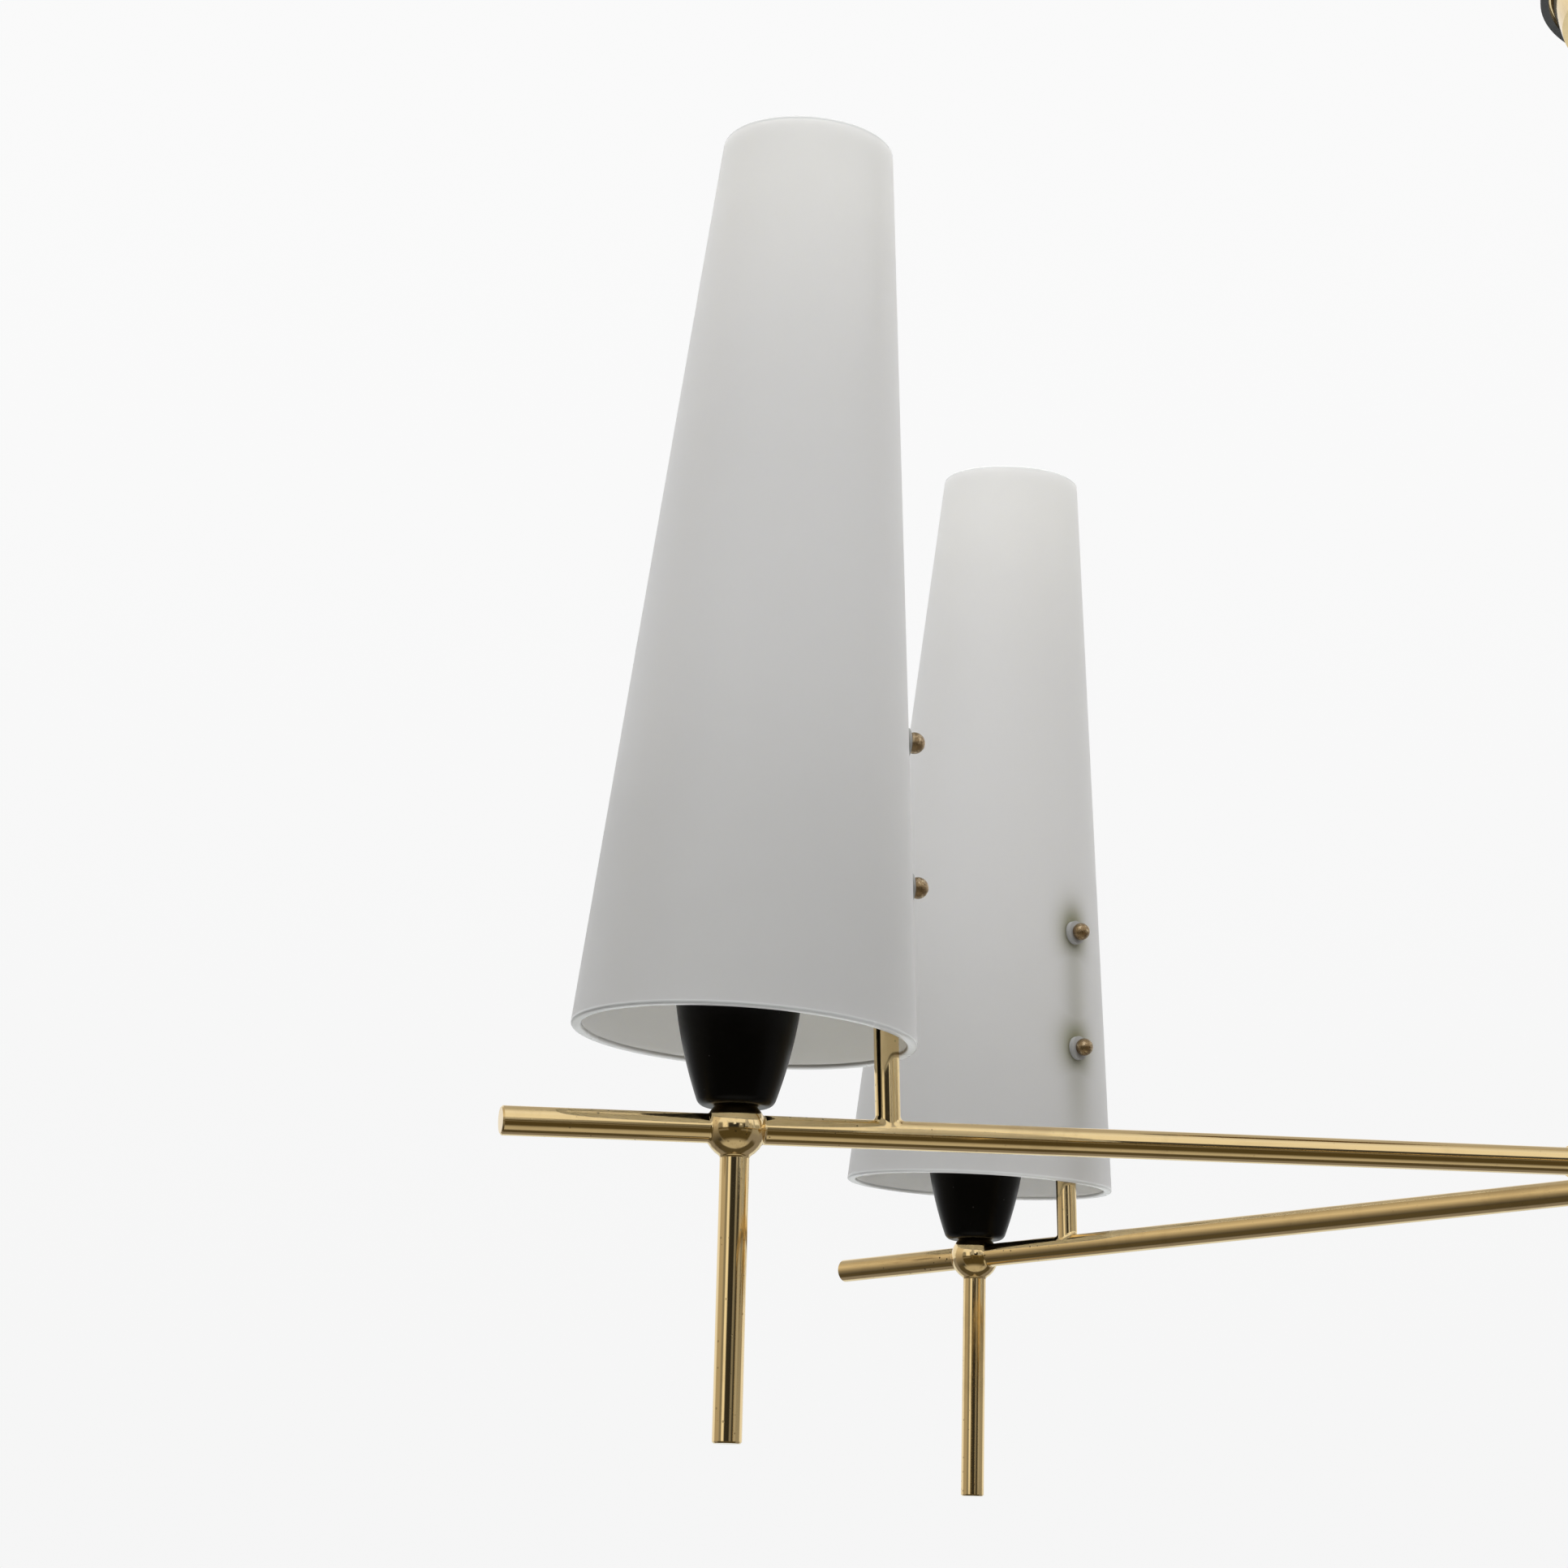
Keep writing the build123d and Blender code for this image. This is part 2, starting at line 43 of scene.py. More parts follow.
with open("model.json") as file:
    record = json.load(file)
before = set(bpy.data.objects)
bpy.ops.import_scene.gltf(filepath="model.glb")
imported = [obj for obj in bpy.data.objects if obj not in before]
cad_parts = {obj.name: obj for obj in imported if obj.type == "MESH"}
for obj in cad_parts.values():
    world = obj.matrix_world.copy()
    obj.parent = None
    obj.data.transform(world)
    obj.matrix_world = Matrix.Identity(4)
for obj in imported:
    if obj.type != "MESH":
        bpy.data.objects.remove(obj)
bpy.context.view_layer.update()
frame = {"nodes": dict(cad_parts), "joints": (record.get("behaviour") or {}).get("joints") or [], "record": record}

NODES = frame["nodes"]
MOUNTS = {mount["name"]: mount for mount in frame["record"]["mounts"]}
JOINTS = {joint["name"]: joint for joint in frame["joints"]}
ARMS = range(1, 1 + sum(name.startswith("arm_tube_") for name in NODES))
UP = Vector((0, 0, 1))
SIDEWAYS = Vector((1, 0, 0))
WELD = 1e-7  # points nearer than this become one, in metres
TURNED_MAP = "turned"  # the map that runs round and along a turned shape
OUTSIDE, INSIDE, RIM = range(3)  # bands of finish on the glass
HANDLED_REACH = 0.332  # hub axis to the middle of the worn stretch of the arms, in metres
HANDLED_EDGES = (0.075, 0.020)  # how far from that middle the wear starts, and where it is full
NATURAL_BASE = 2.718


# Settings


def setting(kind, **usual):
    """Maker of one kind of setting, which takes a name, a description and a default."""

    def make(name, description, default, **own):
        return kind(name=name, description=description, default=default, **(usual | own))

    return make


length = setting(bpy.props.FloatProperty, min=0, precision=5, subtype="DISTANCE", unit="LENGTH")
level = setting(bpy.props.FloatProperty, subtype="DISTANCE", unit="LENGTH")
place = setting(bpy.props.FloatVectorProperty, precision=4, subtype="TRANSLATION", unit="LENGTH")
colour = setting(bpy.props.FloatVectorProperty, min=0, max=1, subtype="COLOR")
angle = setting(bpy.props.FloatProperty, subtype="ANGLE", unit="ROTATION")
amount = setting(bpy.props.FloatProperty, min=0, max=50)


class ShadeSizes(bpy.types.PropertyGroup):
    """Sizes of the glass shades."""

    foot_radius: length("Foot radius", "Outside radius of the glass at its lower rim", 0.050)
    top_radius: length("Top radius", "Outside radius of the glass at its upper rim", 0.026)
    height: length("Height", "Height of the glass along its own axis", 0.277)
    wall: length("Wall", "Thickness of the glass", 0.003)
    rim: length("Rim", "Rounding of the fire-polished rims", 0.0008)
    lower_screw: length("Lower screw", "Lower rim to the lower screw, up the glass", 0.0505)
    upper_screw: length("Upper screw", "Lower rim to the upper screw, up the glass", 0.0945)
    hole: length("Screw hole", "Radius of the holes for the screws", 0.0031)


class SolderSizes(bpy.types.PropertyGroup):
    """Sizes of the rods and of the solder where they meet."""

    ball_radius: length("Ball", "Radius of the ball on each arm", 0.0089)
    rod_radius: length("Rod", "Radius of the arm tubes and the drop rods", 0.00425)
    upright_radius: length("Upright", "Radius of the uprights inside the glass", 0.0037)
    upright_inset: length("Upright inset", "Outside of the glass to the upright's axis", 0.0070)
    ferrule_radius: length("Ferrule", "Radius of the ferrules in the hub wall", 0.0048)
    hub_radius: length("Hub", "Outside radius of the hub drum", 0.058)
    bead: length("Bead", "Radius of the solder fillet round a ball", 0.0010)
    saddle: length("Saddle", "Height of the solder fillet at the foot of an upright", 0.0016)


class LampSizes(bpy.types.PropertyGroup):
    """Sizes of the threaded liners and contacts in the lamp holders."""

    socket_middle: length("Socket middle", "Ball centre to the middle of the lamp socket", 0.0451)
    liner_radius: length("Liner", "Mean radius of the threaded liner", 0.00685)
    thread: length("Thread", "Depth of the rolled thread, each way", 0.00022)
    pitch: length("Pitch", "Pitch of the rolled thread", 0.00282)
    liner_height: length("Liner height", "Length of the threaded liner", 0.0225)
    liner_wall: length("Liner wall", "Thickness of the threaded liner", 0.00016)
    contact_radius: length("Contact", "Radius of the centre contact", 0.0033)
    contact_height: length("Contact height", "Height of the centre contact", 0.0022)
    contact_drop: length("Contact drop", "Middle of the lamp socket to its floor", 0.0135)


class Finishes(bpy.types.PropertyGroup):
    """Colours of the finishes."""

    brass: colour("Brass", "Clean polished brass", (0.85, 0.655, 0.350))
    tarnish: colour("Tarnish", "Brown film on the brass", (0.36, 0.235, 0.095))
    pit: colour("Pits", "Dark pits in the brass", (0.055, 0.035, 0.015))
    old_brass: colour("Old brass", "Dark brass of the ball-headed screws", (0.34, 0.24, 0.135))
    rubbed_brass: colour("Rubbed brass", "Where the old brass is rubbed bright", (0.96, 0.80, 0.56))
    lacquer: colour("Lacquer", "Black stove lacquer", (0.0016, 0.0016, 0.0016))
    dust: colour("Dust", "Dust on the dark finishes", (0.16, 0.155, 0.15))
    glass: colour("Glass", "Satin outside of the opal glass", (0.735, 0.735, 0.722))
    glass_inside: colour("Glass inside", "Inside of the opal glass", (0.95, 0.915, 0.845))
    glass_rim: colour("Glass rim", "Fire-polished rims of the glass", (0.80, 0.81, 0.80))
    # painted shadow of the upright and its screws, seen darkly through the glass
    shadow: colour("Upright in the glass", "Green-brown upright seen through the glass", (0.16, 0.155, 0.055))
    washer: colour("Washers", "Grey translucent plastic", (0.42, 0.42, 0.415))
    zinc: colour("Zinc", "Zinc plated steel", (0.50, 0.51, 0.52))
    bakelite: colour("Bakelite", "Moulded lamp holders", (0.020, 0.017, 0.015))
    ivory: colour("Ivory plastic", "Terminal block and connector", (0.72, 0.69, 0.61))
    sheath: colour("Sheath", "Sheath of the wires", (0.66, 0.65, 0.61))


class Studio(bpy.types.PropertyGroup):
    """The camera, the floor and the light."""

    camera: place("Camera", "Where the camera stands", (-0.577, -0.950, -0.579))
    yaw: angle("Yaw", "Camera turned to the right of +Y", radians(14.88))
    pitch: angle("Pitch", "Camera tilted up", radians(13.83))
    roll: angle("Roll", "Camera turned about its view", radians(-1.39))
    lens: amount("Lens", "Focal length in mm on a 36 mm wide sensor", 79.16, max=500)
    floor: level("Floor", "Level of the floor", -1.15)
    floor_colour: colour("Floor colour", "Pale floor", (0.80, 0.80, 0.80))
    backdrop_low: amount("Backdrop low", "Brightness of the backdrop near the floor", 0.92, max=1)
    backdrop_high: amount("Backdrop high", "Brightness of the backdrop overhead", 0.955, max=1)
    fill: amount("Fill", "Even light from all round", 0.20)
    key: amount("Key", "Power of the soft light at the front left, in watts", 3.0)
    low: amount("Low", "Power of the soft light under the shades, in watts", 4.2)
    top: amount("Top", "Power of the soft light overhead, in watts", 33.0)


# Meshes: a shape holds its points, its faces, the band of finish of each face, and the corners' places on the map


def shown(name, shape, body, materials, crease=40):
    """A smooth mesh piece that rides on a body, from a shape and the finishes of its bands."""
    points, faces, bands, corners = shape
    mesh = bpy.data.meshes.new(name)
    mesh.from_pydata([tuple(point) for point in points], [], faces)
    for material in materials:
        mesh.materials.append(material)
    mesh.polygons.foreach_set("material_index", bands)
    layer = mesh.uv_layers.new(name=TURNED_MAP)
    layer.data.foreach_set("uv", [value for corner in corners for value in corner])
    joined = bmesh.new()
    joined.from_mesh(mesh)
    bmesh.ops.remove_doubles(joined, verts=joined.verts, dist=WELD)
    joined.to_mesh(mesh)
    joined.free()
    mesh.polygons.foreach_set("use_smooth", [True] * len(mesh.polygons))
    mesh.set_sharp_from_angle(angle=radians(crease))
    if mesh.validate():
        raise RuntimeError(f"{name} has bad faces")
    piece = bpy.data.objects.new(name, mesh)
    bpy.context.scene.collection.objects.link(piece)
    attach(piece, body)
    return piece


def looking(origin, axis, aside):
    """Matrix at a point, with its Z along axis and its X as near to aside as can be."""
    z = axis.normalized()
    x = (aside - z * aside.dot(z)).normalized()
    return Matrix.Translation(origin) @ Matrix((x, z.cross(x), z)).transposed().to_4x4()


def skinned(rings, ways, bands, skipped=()):
    """Shape of a skin over closed rings of points, with its last ring joined to its first."""
    segments, count = len(rings), len(bands)
    points, faces, face_bands, corners = [], [], [], []
    for step, ring in enumerate(rings):
        points += ring
        here, there = step * count, (step + 1) % segments * count
        left, right = step / segments, (step + 1) / segments
        for index in range(count):
            if index in skipped:
                continue
            after = (index + 1) % count
            low, high = ways[index], ways[index + 1]
            faces.append((here + index, there + index, there + after, here + after))
            face_bands.append(bands[index])
            corners += [(left, low), (right, low), (right, high), (left, high)]
    return points, faces, face_bands, corners


def turned(profile, spot, segments, bands=None, swell=None):
    """Shape of a closed (radius, height) profile turned about a place's Z axis."""
    count = len(profile)
    nexts = [*profile[1:], profile[0]]
    ways = [0.0]
    for point, after in zip(profile, nexts):
        ways.append(ways[-1] + (Vector(after) - Vector(point)).length)
    on_axis = [index for index in range(count) if profile[index][0] == nexts[index][0] == 0]
    rings = []
    for step in range(segments):
        turn = 2 * pi * step / segments
        ring = []
        for radius, height in profile:
            wide = radius + (swell(turn, height) if swell else 0)
            ring.append(spot @ Vector((wide * cos(turn), wide * sin(turn), height)))
        rings.append(ring)
    return skinned(rings, [way / ways[-1] for way in ways], bands or [0] * count, on_axis)


def together(shapes):
    """Several shapes as one."""
    points, faces, bands, corners = [], [], [], []
    for shape in shapes:
        first = len(points)
        points += shape[0]
        faces += [tuple(first + index for index in face) for face in shape[1]]
        bands += shape[2]
        corners += shape[3]
    return points, faces, bands, corners


def eased(outline, radius, steps=5):
    """A closed outline with its corners rounded."""
    soft = []
    for before, corner, after in zip(outline[-1:] + outline[:-1], outline, outline[1:] + outline[:1]):
        corner = Vector(corner)
        back, ahead = (Vector(before) - corner).normalized(), (Vector(after) - corner).normalized()
        half = back.angle(ahead) / 2
        middle = corner + (back + ahead).normalized() * radius / sin(half)
        start, end = corner + back * radius / tan(half), corner + ahead * radius / tan(half)
        for step in range(steps + 1):
            soft.append(middle + (start - middle).slerp(end - middle, step / steps) * radius)
    return soft


def between(start, end, edge, rows):
    """Points from start to end, close to each end and evenly along the rest."""
    way = end - start
    share = edge / way.length
    return [start + way * (share + (1 - 2 * share) * row / rows) for row in range(rows + 1)]


def hub_middle():
    """The point where the axes of the arms meet."""
    low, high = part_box("hub_connector")
    return (low + high) / 2


def arm_facts(number):
    """Ball centre of an arm, the direction of its tube away from the hub, and level outward."""
    sizes = bpy.context.scene.chandelier_lamps
    ball = Vector(MOUNTS[f"lamp_socket_{number}"]["pos_m"]) - UP * sizes.socket_middle
    outward = Vector((ball.x, ball.y, 0)).normalized()
    return ball, (ball - hub_middle()).normalized(), outward


def wall_facts(number):
    """Point on the glass at the lower screw, the way up the glass, and the way into it."""
    lower_screw, upper_screw = (JOINTS[f"shade_screw_{number}_{end}_turn"] for end in ("lower", "upper"))
    lower, upper = Vector(lower_screw["pos_m"]), Vector(upper_screw["pos_m"])
    inward = -Vector(lower_screw["axis"])
    return lower, (upper - lower).normalized(), inward.normalized()


def glass_taper(sizes):
    """Angle between the wall of a shade and its axis."""
    return atan2(sizes.foot_radius - sizes.top_radius, sizes.height)


def glass_place(number):
    """Place of a shade: on the middle of its lower rim, Z up its axis, X away from the hub."""
    sizes = bpy.context.scene.chandelier_shades
    lower, up_wall, into = wall_facts(number)
    taper = glass_taper(sizes)
    out = into * cos(taper) + up_wall * sin(taper)
    axis = up_wall * cos(taper) - into * sin(taper)
    foot = lower - up_wall * sizes.lower_screw + out * sizes.foot_radius
    return looking(foot, axis, out)


# Node trees


def add(tree, kind, values=None, **settings):
    """A node with its settings, and its inputs set or linked."""
    node = tree.nodes.new(kind)
    for name, value in settings.items():
        setattr(node, name, value)
    for name, value in (values or {}).items():
        if isinstance(value, bpy.types.NodeSocket):
            tree.links.new(value, node.inputs[name])
        else:
            node.inputs[name].default_value = value
    return node


def maths(tree, operation, *values):
    """Result of a Math node."""
    return add(tree, "ShaderNodeMath", dict(enumerate(values)), operation=operation).outputs[0]


def product(tree, result, *factors):
    """Several values multiplied."""
    for factor in factors:
        result = maths(tree, "MULTIPLY", result, factor)
    return result


def total(tree, *parts):
    """Sum of values, each times its weight."""
    result, *others = (product(tree, value, weight) for value, weight in parts)
    for other in others:
        result = maths(tree, "ADD", result, other)
    return result


def ramp(tree, value, low, high, start=0.0, end=1.0):
    """A value eased from start to end as it goes from low to high."""
    values = {"Value": value, "From Min": low, "From Max": high, "To Min": start, "To Max": end}
    return add(tree, "ShaderNodeMapRange", values, interpolation_type="SMOOTHSTEP").outputs["Result"]


def bell(tree, squared, width):
    """A soft bell from the square of a distance: 1 in the middle, and about a third at its width."""
    return maths(tree, "POWER", NATURAL_BASE, product(tree, squared, -1 / width**2))


def blend(tree, share, first, second):
    """Two colours mixed by a share."""
    pair = [tone if isinstance(tone, bpy.types.NodeSocket) else (*tone, 1) for tone in (first, second)]
    return add(tree, "ShaderNodeMix", {0: share, 6: pair[0], 7: pair[1]}, data_type="RGBA").outputs[2]


def tinted(tone, factor):
    """A colour made darker or paler, up to white."""
    return tuple(min(1.0, factor * value) for value in tone)


def noise(tree, vector, scale, detail, rough):
    """Cloudy noise from 0 to 1."""
    values = {"Vector": vector, "Scale": scale, "Detail": detail, "Roughness": rough}
    return add(tree, "ShaderNodeTexNoise", values).outputs["Fac"]


# Effects that several finishes share


def effect(name, inputs, outputs):
    """A new node group for a place and some values: its tree, what is given to it, and what it puts out."""
    tree = bpy.data.node_groups.new(name, "ShaderNodeTree")
    tree.interface.new_socket("Vector", in_out="INPUT", socket_type="NodeSocketVector")
    for socket, default in inputs.items():
        tree.interface.new_socket(socket, in_out="INPUT", socket_type="NodeSocketFloat").default_value = default
    for socket in outputs:
        tree.interface.new_socket(socket, in_out="OUTPUT", socket_type="NodeSocketFloat")
    return tree, tree.nodes.new("NodeGroupInput").outputs, tree.nodes.new("NodeGroupOutput").inputs


def use(tree, name, **values):
    """Outputs of an effect placed in a tree with its own values; its group is made at its first use."""
    group = bpy.data.node_groups.get(name) or EFFECTS[name](name)
    values = {socket.replace("_", " "): value for socket, value in values.items()}
    return add(tree, "ShaderNodeGroup", values, node_tree=group).outputs


def tarnish_effect(name):
    """Cloudy patches: brown film on brass, dull places on lacquer, grey bloom on zinc."""
    tree, given, result = effect(name, {"Scale": 30, "Start": 0.5}, ("Mask",))
    finer, softness = 7.0, 0.16
    broad = noise(tree, given["Vector"], given["Scale"], detail=5.0, rough=0.62)
    fine = noise(tree, given["Vector"], product(tree, given["Scale"], finer), detail=3.0, rough=0.6)
    both = total(tree, (broad, 0.75), (fine, 0.25))
    end = maths(tree, "ADD", given["Start"], softness)
    tree.links.new(ramp(tree, both, given["Start"], end), result["Mask"])
    return tree


def specks_effect(name):
    """Scattered small round marks: pits in brass, dust on lacquer, seeds in glass."""
    tree, given, result = effect(name, {"Scale": 200, "Size": 0.12, "Share": 0.4}, ("Mask",))
    smallest, core = 0.35, 0.55
    cells = add(tree, "ShaderNodeTexVoronoi", {"Vector": given["Vector"], "Scale": given["Scale"]}).outputs
    pick = add(tree, "ShaderNodeSeparateColor", {"Color": cells["Color"]}).outputs
    kept = maths(tree, "LESS_THAN", pick["Red"], given["Share"])
    size = product(tree, given["Size"], maths(tree, "ADD", pick["Green"], smallest))
    dot = ramp(tree, cells["Distance"], size, product(tree, size, core))
    tree.links.new(product(tree, dot, kept), result["Mask"])
    return tree


def rod_effect(name):
    """Streaks, rubbed marks and draw lines that run along a level arm, or along the vertical rods."""
    stretches = {"Level stretch": 0.06, "Upright stretch": 1.0}
    tree, given, result = effect(name, stretches, ("Streaks", "Rubbed", "Lines", "Along"))
    # Turned by half the angle between two arms, so that the seam of the angle falls between them
    aside = {"Vector": given["Vector"], "Angle": pi / len(ARMS)}
    spot = add(tree, "ShaderNodeVectorRotate", aside, rotation_type="Z_AXIS").outputs[0]
    x, y, z = add(tree, "ShaderNodeSeparateXYZ", {0: spot}).outputs
    along = maths(tree, "SQRT", maths(tree, "ADD", product(tree, x, x), product(tree, y, y)))
    mean_reach = 0.34
    stretched = {
        0: product(tree, along, given["Level stretch"]),
        1: product(tree, maths(tree, "ARCTAN2", y, x), mean_reach),
        2: product(tree, z, given["Upright stretch"]),
    }
    spread = add(tree, "ShaderNodeCombineXYZ", stretched).outputs[0]
    streaks = use(tree, "Tarnish", Vector=spread, Scale=260.0, Start=0.52)["Mask"]
    rubbed = use(tree, "Specks", Vector=spread, Scale=900.0, Size=0.5, Share=0.55)["Mask"]
    lines = noise(tree, spread, scale=900.0, detail=3.0, rough=0.6)
    for socket, value in (("Streaks", streaks), ("Rubbed", rubbed), ("Lines", lines), ("Along", along)):
        tree.links.new(value, result[socket])
    return tree


EFFECTS = {"Tarnish": tarnish_effect, "Specks": specks_effect, "Rod lines": rod_effect}


# Finishes


def new_finish(name, **sockets):
    """A new material, its node tree, its shader with plain values, and the place of each point on the piece."""
    material = bpy.data.materials.new(name)
    material.use_nodes = True
    tree = material.node_tree
    shader = tree.nodes["Principled BSDF"]
    for socket, value in sockets.items():
        shader.inputs[socket.replace("_", " ")].default_value = value
    return material, tree, shader, add(tree, "ShaderNodeTexCoord").outputs["Object"]


def bumped(tree, height, strength, distance):
    """Normal of a surface with bump from a height."""
    values = {"Height": height, "Strength": strength, "Distance": distance}
    return add(tree, "ShaderNodeBump", values).outputs["Normal"]


# Each of these gives the colour, the roughness and the normal of a finish, which change over the surface


def brass_finish(tree, spot, tones, level_stretch, upright_stretch, worn):
    """Polished brass with a thin brown film, fine draw lines and pits, worn where the lamps are handled."""
    rods = use(tree, "Rod lines", Vector=spot, Level_stretch=level_stretch, Upright_stretch=upright_stretch)
    streak = rods["Streaks"]
    film = use(tree, "Tarnish", Vector=spot, Scale=34.0, Start=0.50)["Mask"]
    pits = use(tree, "Specks", Vector=spot, Scale=620.0, Size=0.24, Share=0.20)["Mask"]
    away = maths(tree, "ABSOLUTE", maths(tree, "SUBTRACT", rods["Along"], HANDLED_REACH))
    wear = product(tree, ramp(tree, away, *HANDLED_EDGES), worn)
    brown = total(tree, (film, 0.16), (streak, 0.14), (product(tree, streak, wear), 0.35))
    base = blend(tree, brown, tones.brass, tones.tarnish)
    pitted = product(tree, pits, maths(tree, "MULTIPLY_ADD", wear, 0.75, 0.12))
    scuffed = product(tree, rods["Rubbed"], streak, wear, 0.5)
    marks = maths(tree, "MINIMUM", maths(tree, "ADD", pitted, scuffed), 1.0)
    base = blend(tree, marks, base, tones.pit)
    polish = 0.07
    roughness = maths(tree, "ADD", total(tree, (film, 0.06), (streak, 0.07), (marks, 0.3)), polish)
    waves = noise(tree, spot, scale=90.0, detail=2.0, rough=0.5)
    height = total(tree, (rods["Lines"], 0.10), (waves, 1.0), (marks, -0.5))
    return base, roughness, bumped(tree, height, strength=0.06, distance=0.0005)


def old_brass_finish(tree, spot, tones):
    """Dark, rough-turned brass, rubbed bright on its high places."""
    rough = noise(tree, spot, scale=620.0, detail=6.0, rough=0.68)
    bright = use(tree, "Tarnish", Vector=spot, Scale=520.0, Start=0.50)["Mask"]
    pits = use(tree, "Specks", Vector=spot, Scale=1500.0, Size=0.4, Share=0.35)["Mask"]
    base = blend(tree, product(tree, bright, 0.85), tones.old_brass, tones.rubbed_brass)
    base = blend(tree, product(tree, pits, 0.7), base, tones.pit)
    roughness = ramp(tree, bright, 0.0, 1.0, start=0.24, end=0.13)
    height = total(tree, (rough, 1.0), (pits, -0.5))
    return base, roughness, bumped(tree, height, strength=0.5, distance=0.0006)


def lacquer_finish(tree, spot, tones):
    """Satin black lacquer with a little dust."""
    dust = use(tree, "Specks", Vector=spot, Scale=420.0, Size=0.10, Share=0.22)["Mask"]
    dull = use(tree, "Tarnish", Vector=spot, Scale=45.0, Start=0.46)["Mask"]
    base = blend(tree, product(tree, dust, 0.35), tones.lacquer, tones.dust)
    roughness = ramp(tree, dull, 0.0, 1.0, start=0.33, end=0.40)
    height = noise(tree, spot, scale=1800.0, detail=2.0, rough=0.5)
    return base, roughness, bumped(tree, height, strength=0.10, distance=0.0002)


def glass_finish(tree, spot, tones, tone, roughness, painted_shade=False):
    """Opal glass, cloudy within a few percent and with seeds; outside, painted shade at the foot, painted light
    above, and the painted shadow of the upright showing through it.
    """
    tone = getattr(tones, tone)
    clouds = ramp(tree, noise(tree, spot, scale=9.0, detail=4.0, rough=0.5), 0.3, 0.7)
    seeds = use(tree, "Specks", Vector=spot, Scale=95.0, Size=0.05, Share=0.16)["Mask"]
    bloom = use(tree, "Tarnish", Vector=spot, Scale=14.0, Start=0.44)["Mask"]
    base = blend(tree, clouds, tinted(tone, 0.955), tinted(tone, 1.035))
    base = blend(tree, product(tree, seeds, 0.25), base, tones.glass_inside)
    # on the outside only: painted shade and light, and the painted shadow of the upright
    if painted_shade:
        base = paint_glass_shade(tree, base, tone, tones.shadow)
    roughness = ramp(tree, bloom, 0.0, 1.0, start=roughness, end=roughness + 0.06)
    height = noise(tree, spot, scale=1400.0, detail=2.0, rough=0.6)
    return base, roughness, bumped(tree, height, strength=0.04, distance=0.0002)


def paint_glass_shade(tree, base, tone, shadow):
    """Painted shade darker at the foot of the glass and painted light paler above, with the painted shadow of the
    upright and its screws showing softly through.
    """
    sizes = bpy.context.scene.chandelier_shades
    screw_radius = 0.043  # of the glass, about where the screws are
    shaded_foot_top, shaded_foot_share = 0.12, 0.55  # how far up the painted shade at the foot goes, and how much it shows
    painted_light_start, painted_light_end, painted_light_share = (0.05, 0.15), (0.285, 0.21), 0.65  # where the band of painted light comes and goes
    upright_width, upright_share = 0.0062, 0.34  # soft shade of the upright
    upright_foot, upright_top = 0.25, (0.012, 0.001)  # its share at the rim, and its end over the upper screw
    screw_width, screw_flatness, screw_margin = 0.0080, 0.62, 0.004  # soft shade round a screw
    on_map = add(tree, "ShaderNodeUVMap", uv_map=TURNED_MAP).outputs["UV"]
    round_share, up_share, _ = add(tree, "ShaderNodeSeparateXYZ", {0: on_map}).outputs
    slope = sqrt(sizes.height**2 + (sizes.foot_radius - sizes.top_radius) ** 2)
    across = product(tree, maths(tree, "SUBTRACT", round_share, 0.5), 2 * pi * screw_radius)
    up = product(tree, up_share, 2 * (slope + sizes.wall))
    # painted shade darker at the foot and painted light paler higher up, standing in for how the light falls on
    # the glass
    shaded_foot = ramp(tree, up, shaded_foot_top, 0.0, end=shaded_foot_share)
    thin = product(tree, ramp(tree, up, *painted_light_start, end=painted_light_share), ramp(tree, up, *painted_light_end))
    base = blend(tree, shaded_foot, base, tinted(tone, 0.82))
    base = blend(tree, thin, base, tinted(tone, 1.14))
    # painted shadow of the upright along the glass and round each screw, blended over the glass colour
    wide = product(tree, across, across)
    rise = ramp(tree, up, 0.0, sizes.lower_screw - screw_margin, start=upright_foot)
    fall = ramp(tree, up, *(sizes.upper_screw + above for above in upright_top))
    mask = product(tree, bell(tree, wide, upright_width), product(tree, rise, fall), upright_share)
    for screw in (sizes.lower_screw, sizes.upper_screw):
        off = maths(tree, "SUBTRACT", up, screw)
        far = maths(tree, "ADD", wide, product(tree, off, off, screw_flatness))
        mask = maths(tree, "MAXIMUM", mask, bell(tree, far, screw_width))
    return blend(tree, mask, base, shadow)


def plastic_finish(tree, spot, tones, tone, roughness):
    """Moulded plastic with slight flow marks and dust."""
    tone = getattr(tones, tone)
    flow = noise(tree, spot, scale=160.0, detail=5.0, rough=0.6)
    dust = use(tree, "Specks", Vector=spot, Scale=500.0, Size=0.12, Share=0.2)["Mask"]
    base = blend(tree, flow, tinted(tone, 0.86), tinted(tone, 1.12))
    base = blend(tree, product(tree, dust, 0.35), base, tones.dust)
    roughness = ramp(tree, flow, 0.3, 0.7, start=roughness - 0.05, end=roughness + 0.06)
    return base, roughness, bumped(tree, flow, strength=0.08, distance=0.0003)


def zinc_finish(tree, spot, tones):
    """Zinc plated steel with a faint spangle and dull patches."""
    cells = add(tree, "ShaderNodeTexVoronoi", {"Vector": spot, "Scale": 380.0}).outputs
    spangle = add(tree, "ShaderNodeSeparateColor", {"Color": cells["Color"]}).outputs["Red"]
    dull = use(tree, "Tarnish", Vector=spot, Scale=60.0, Start=0.48)["Mask"]
    base = blend(tree, product(tree, spangle, 0.25), tones.zinc, tinted(tones.zinc, 1.25))
    base = blend(tree, product(tree, dull, 0.35), base, tones.dust)
    roughness = ramp(tree, dull, 0.0, 1.0, start=0.32, end=0.52)
    height = noise(tree, spot, scale=700.0, detail=3.0, rough=0.6)
    return base, roughness, bumped(tree, height, strength=0.12, distance=0.0002)


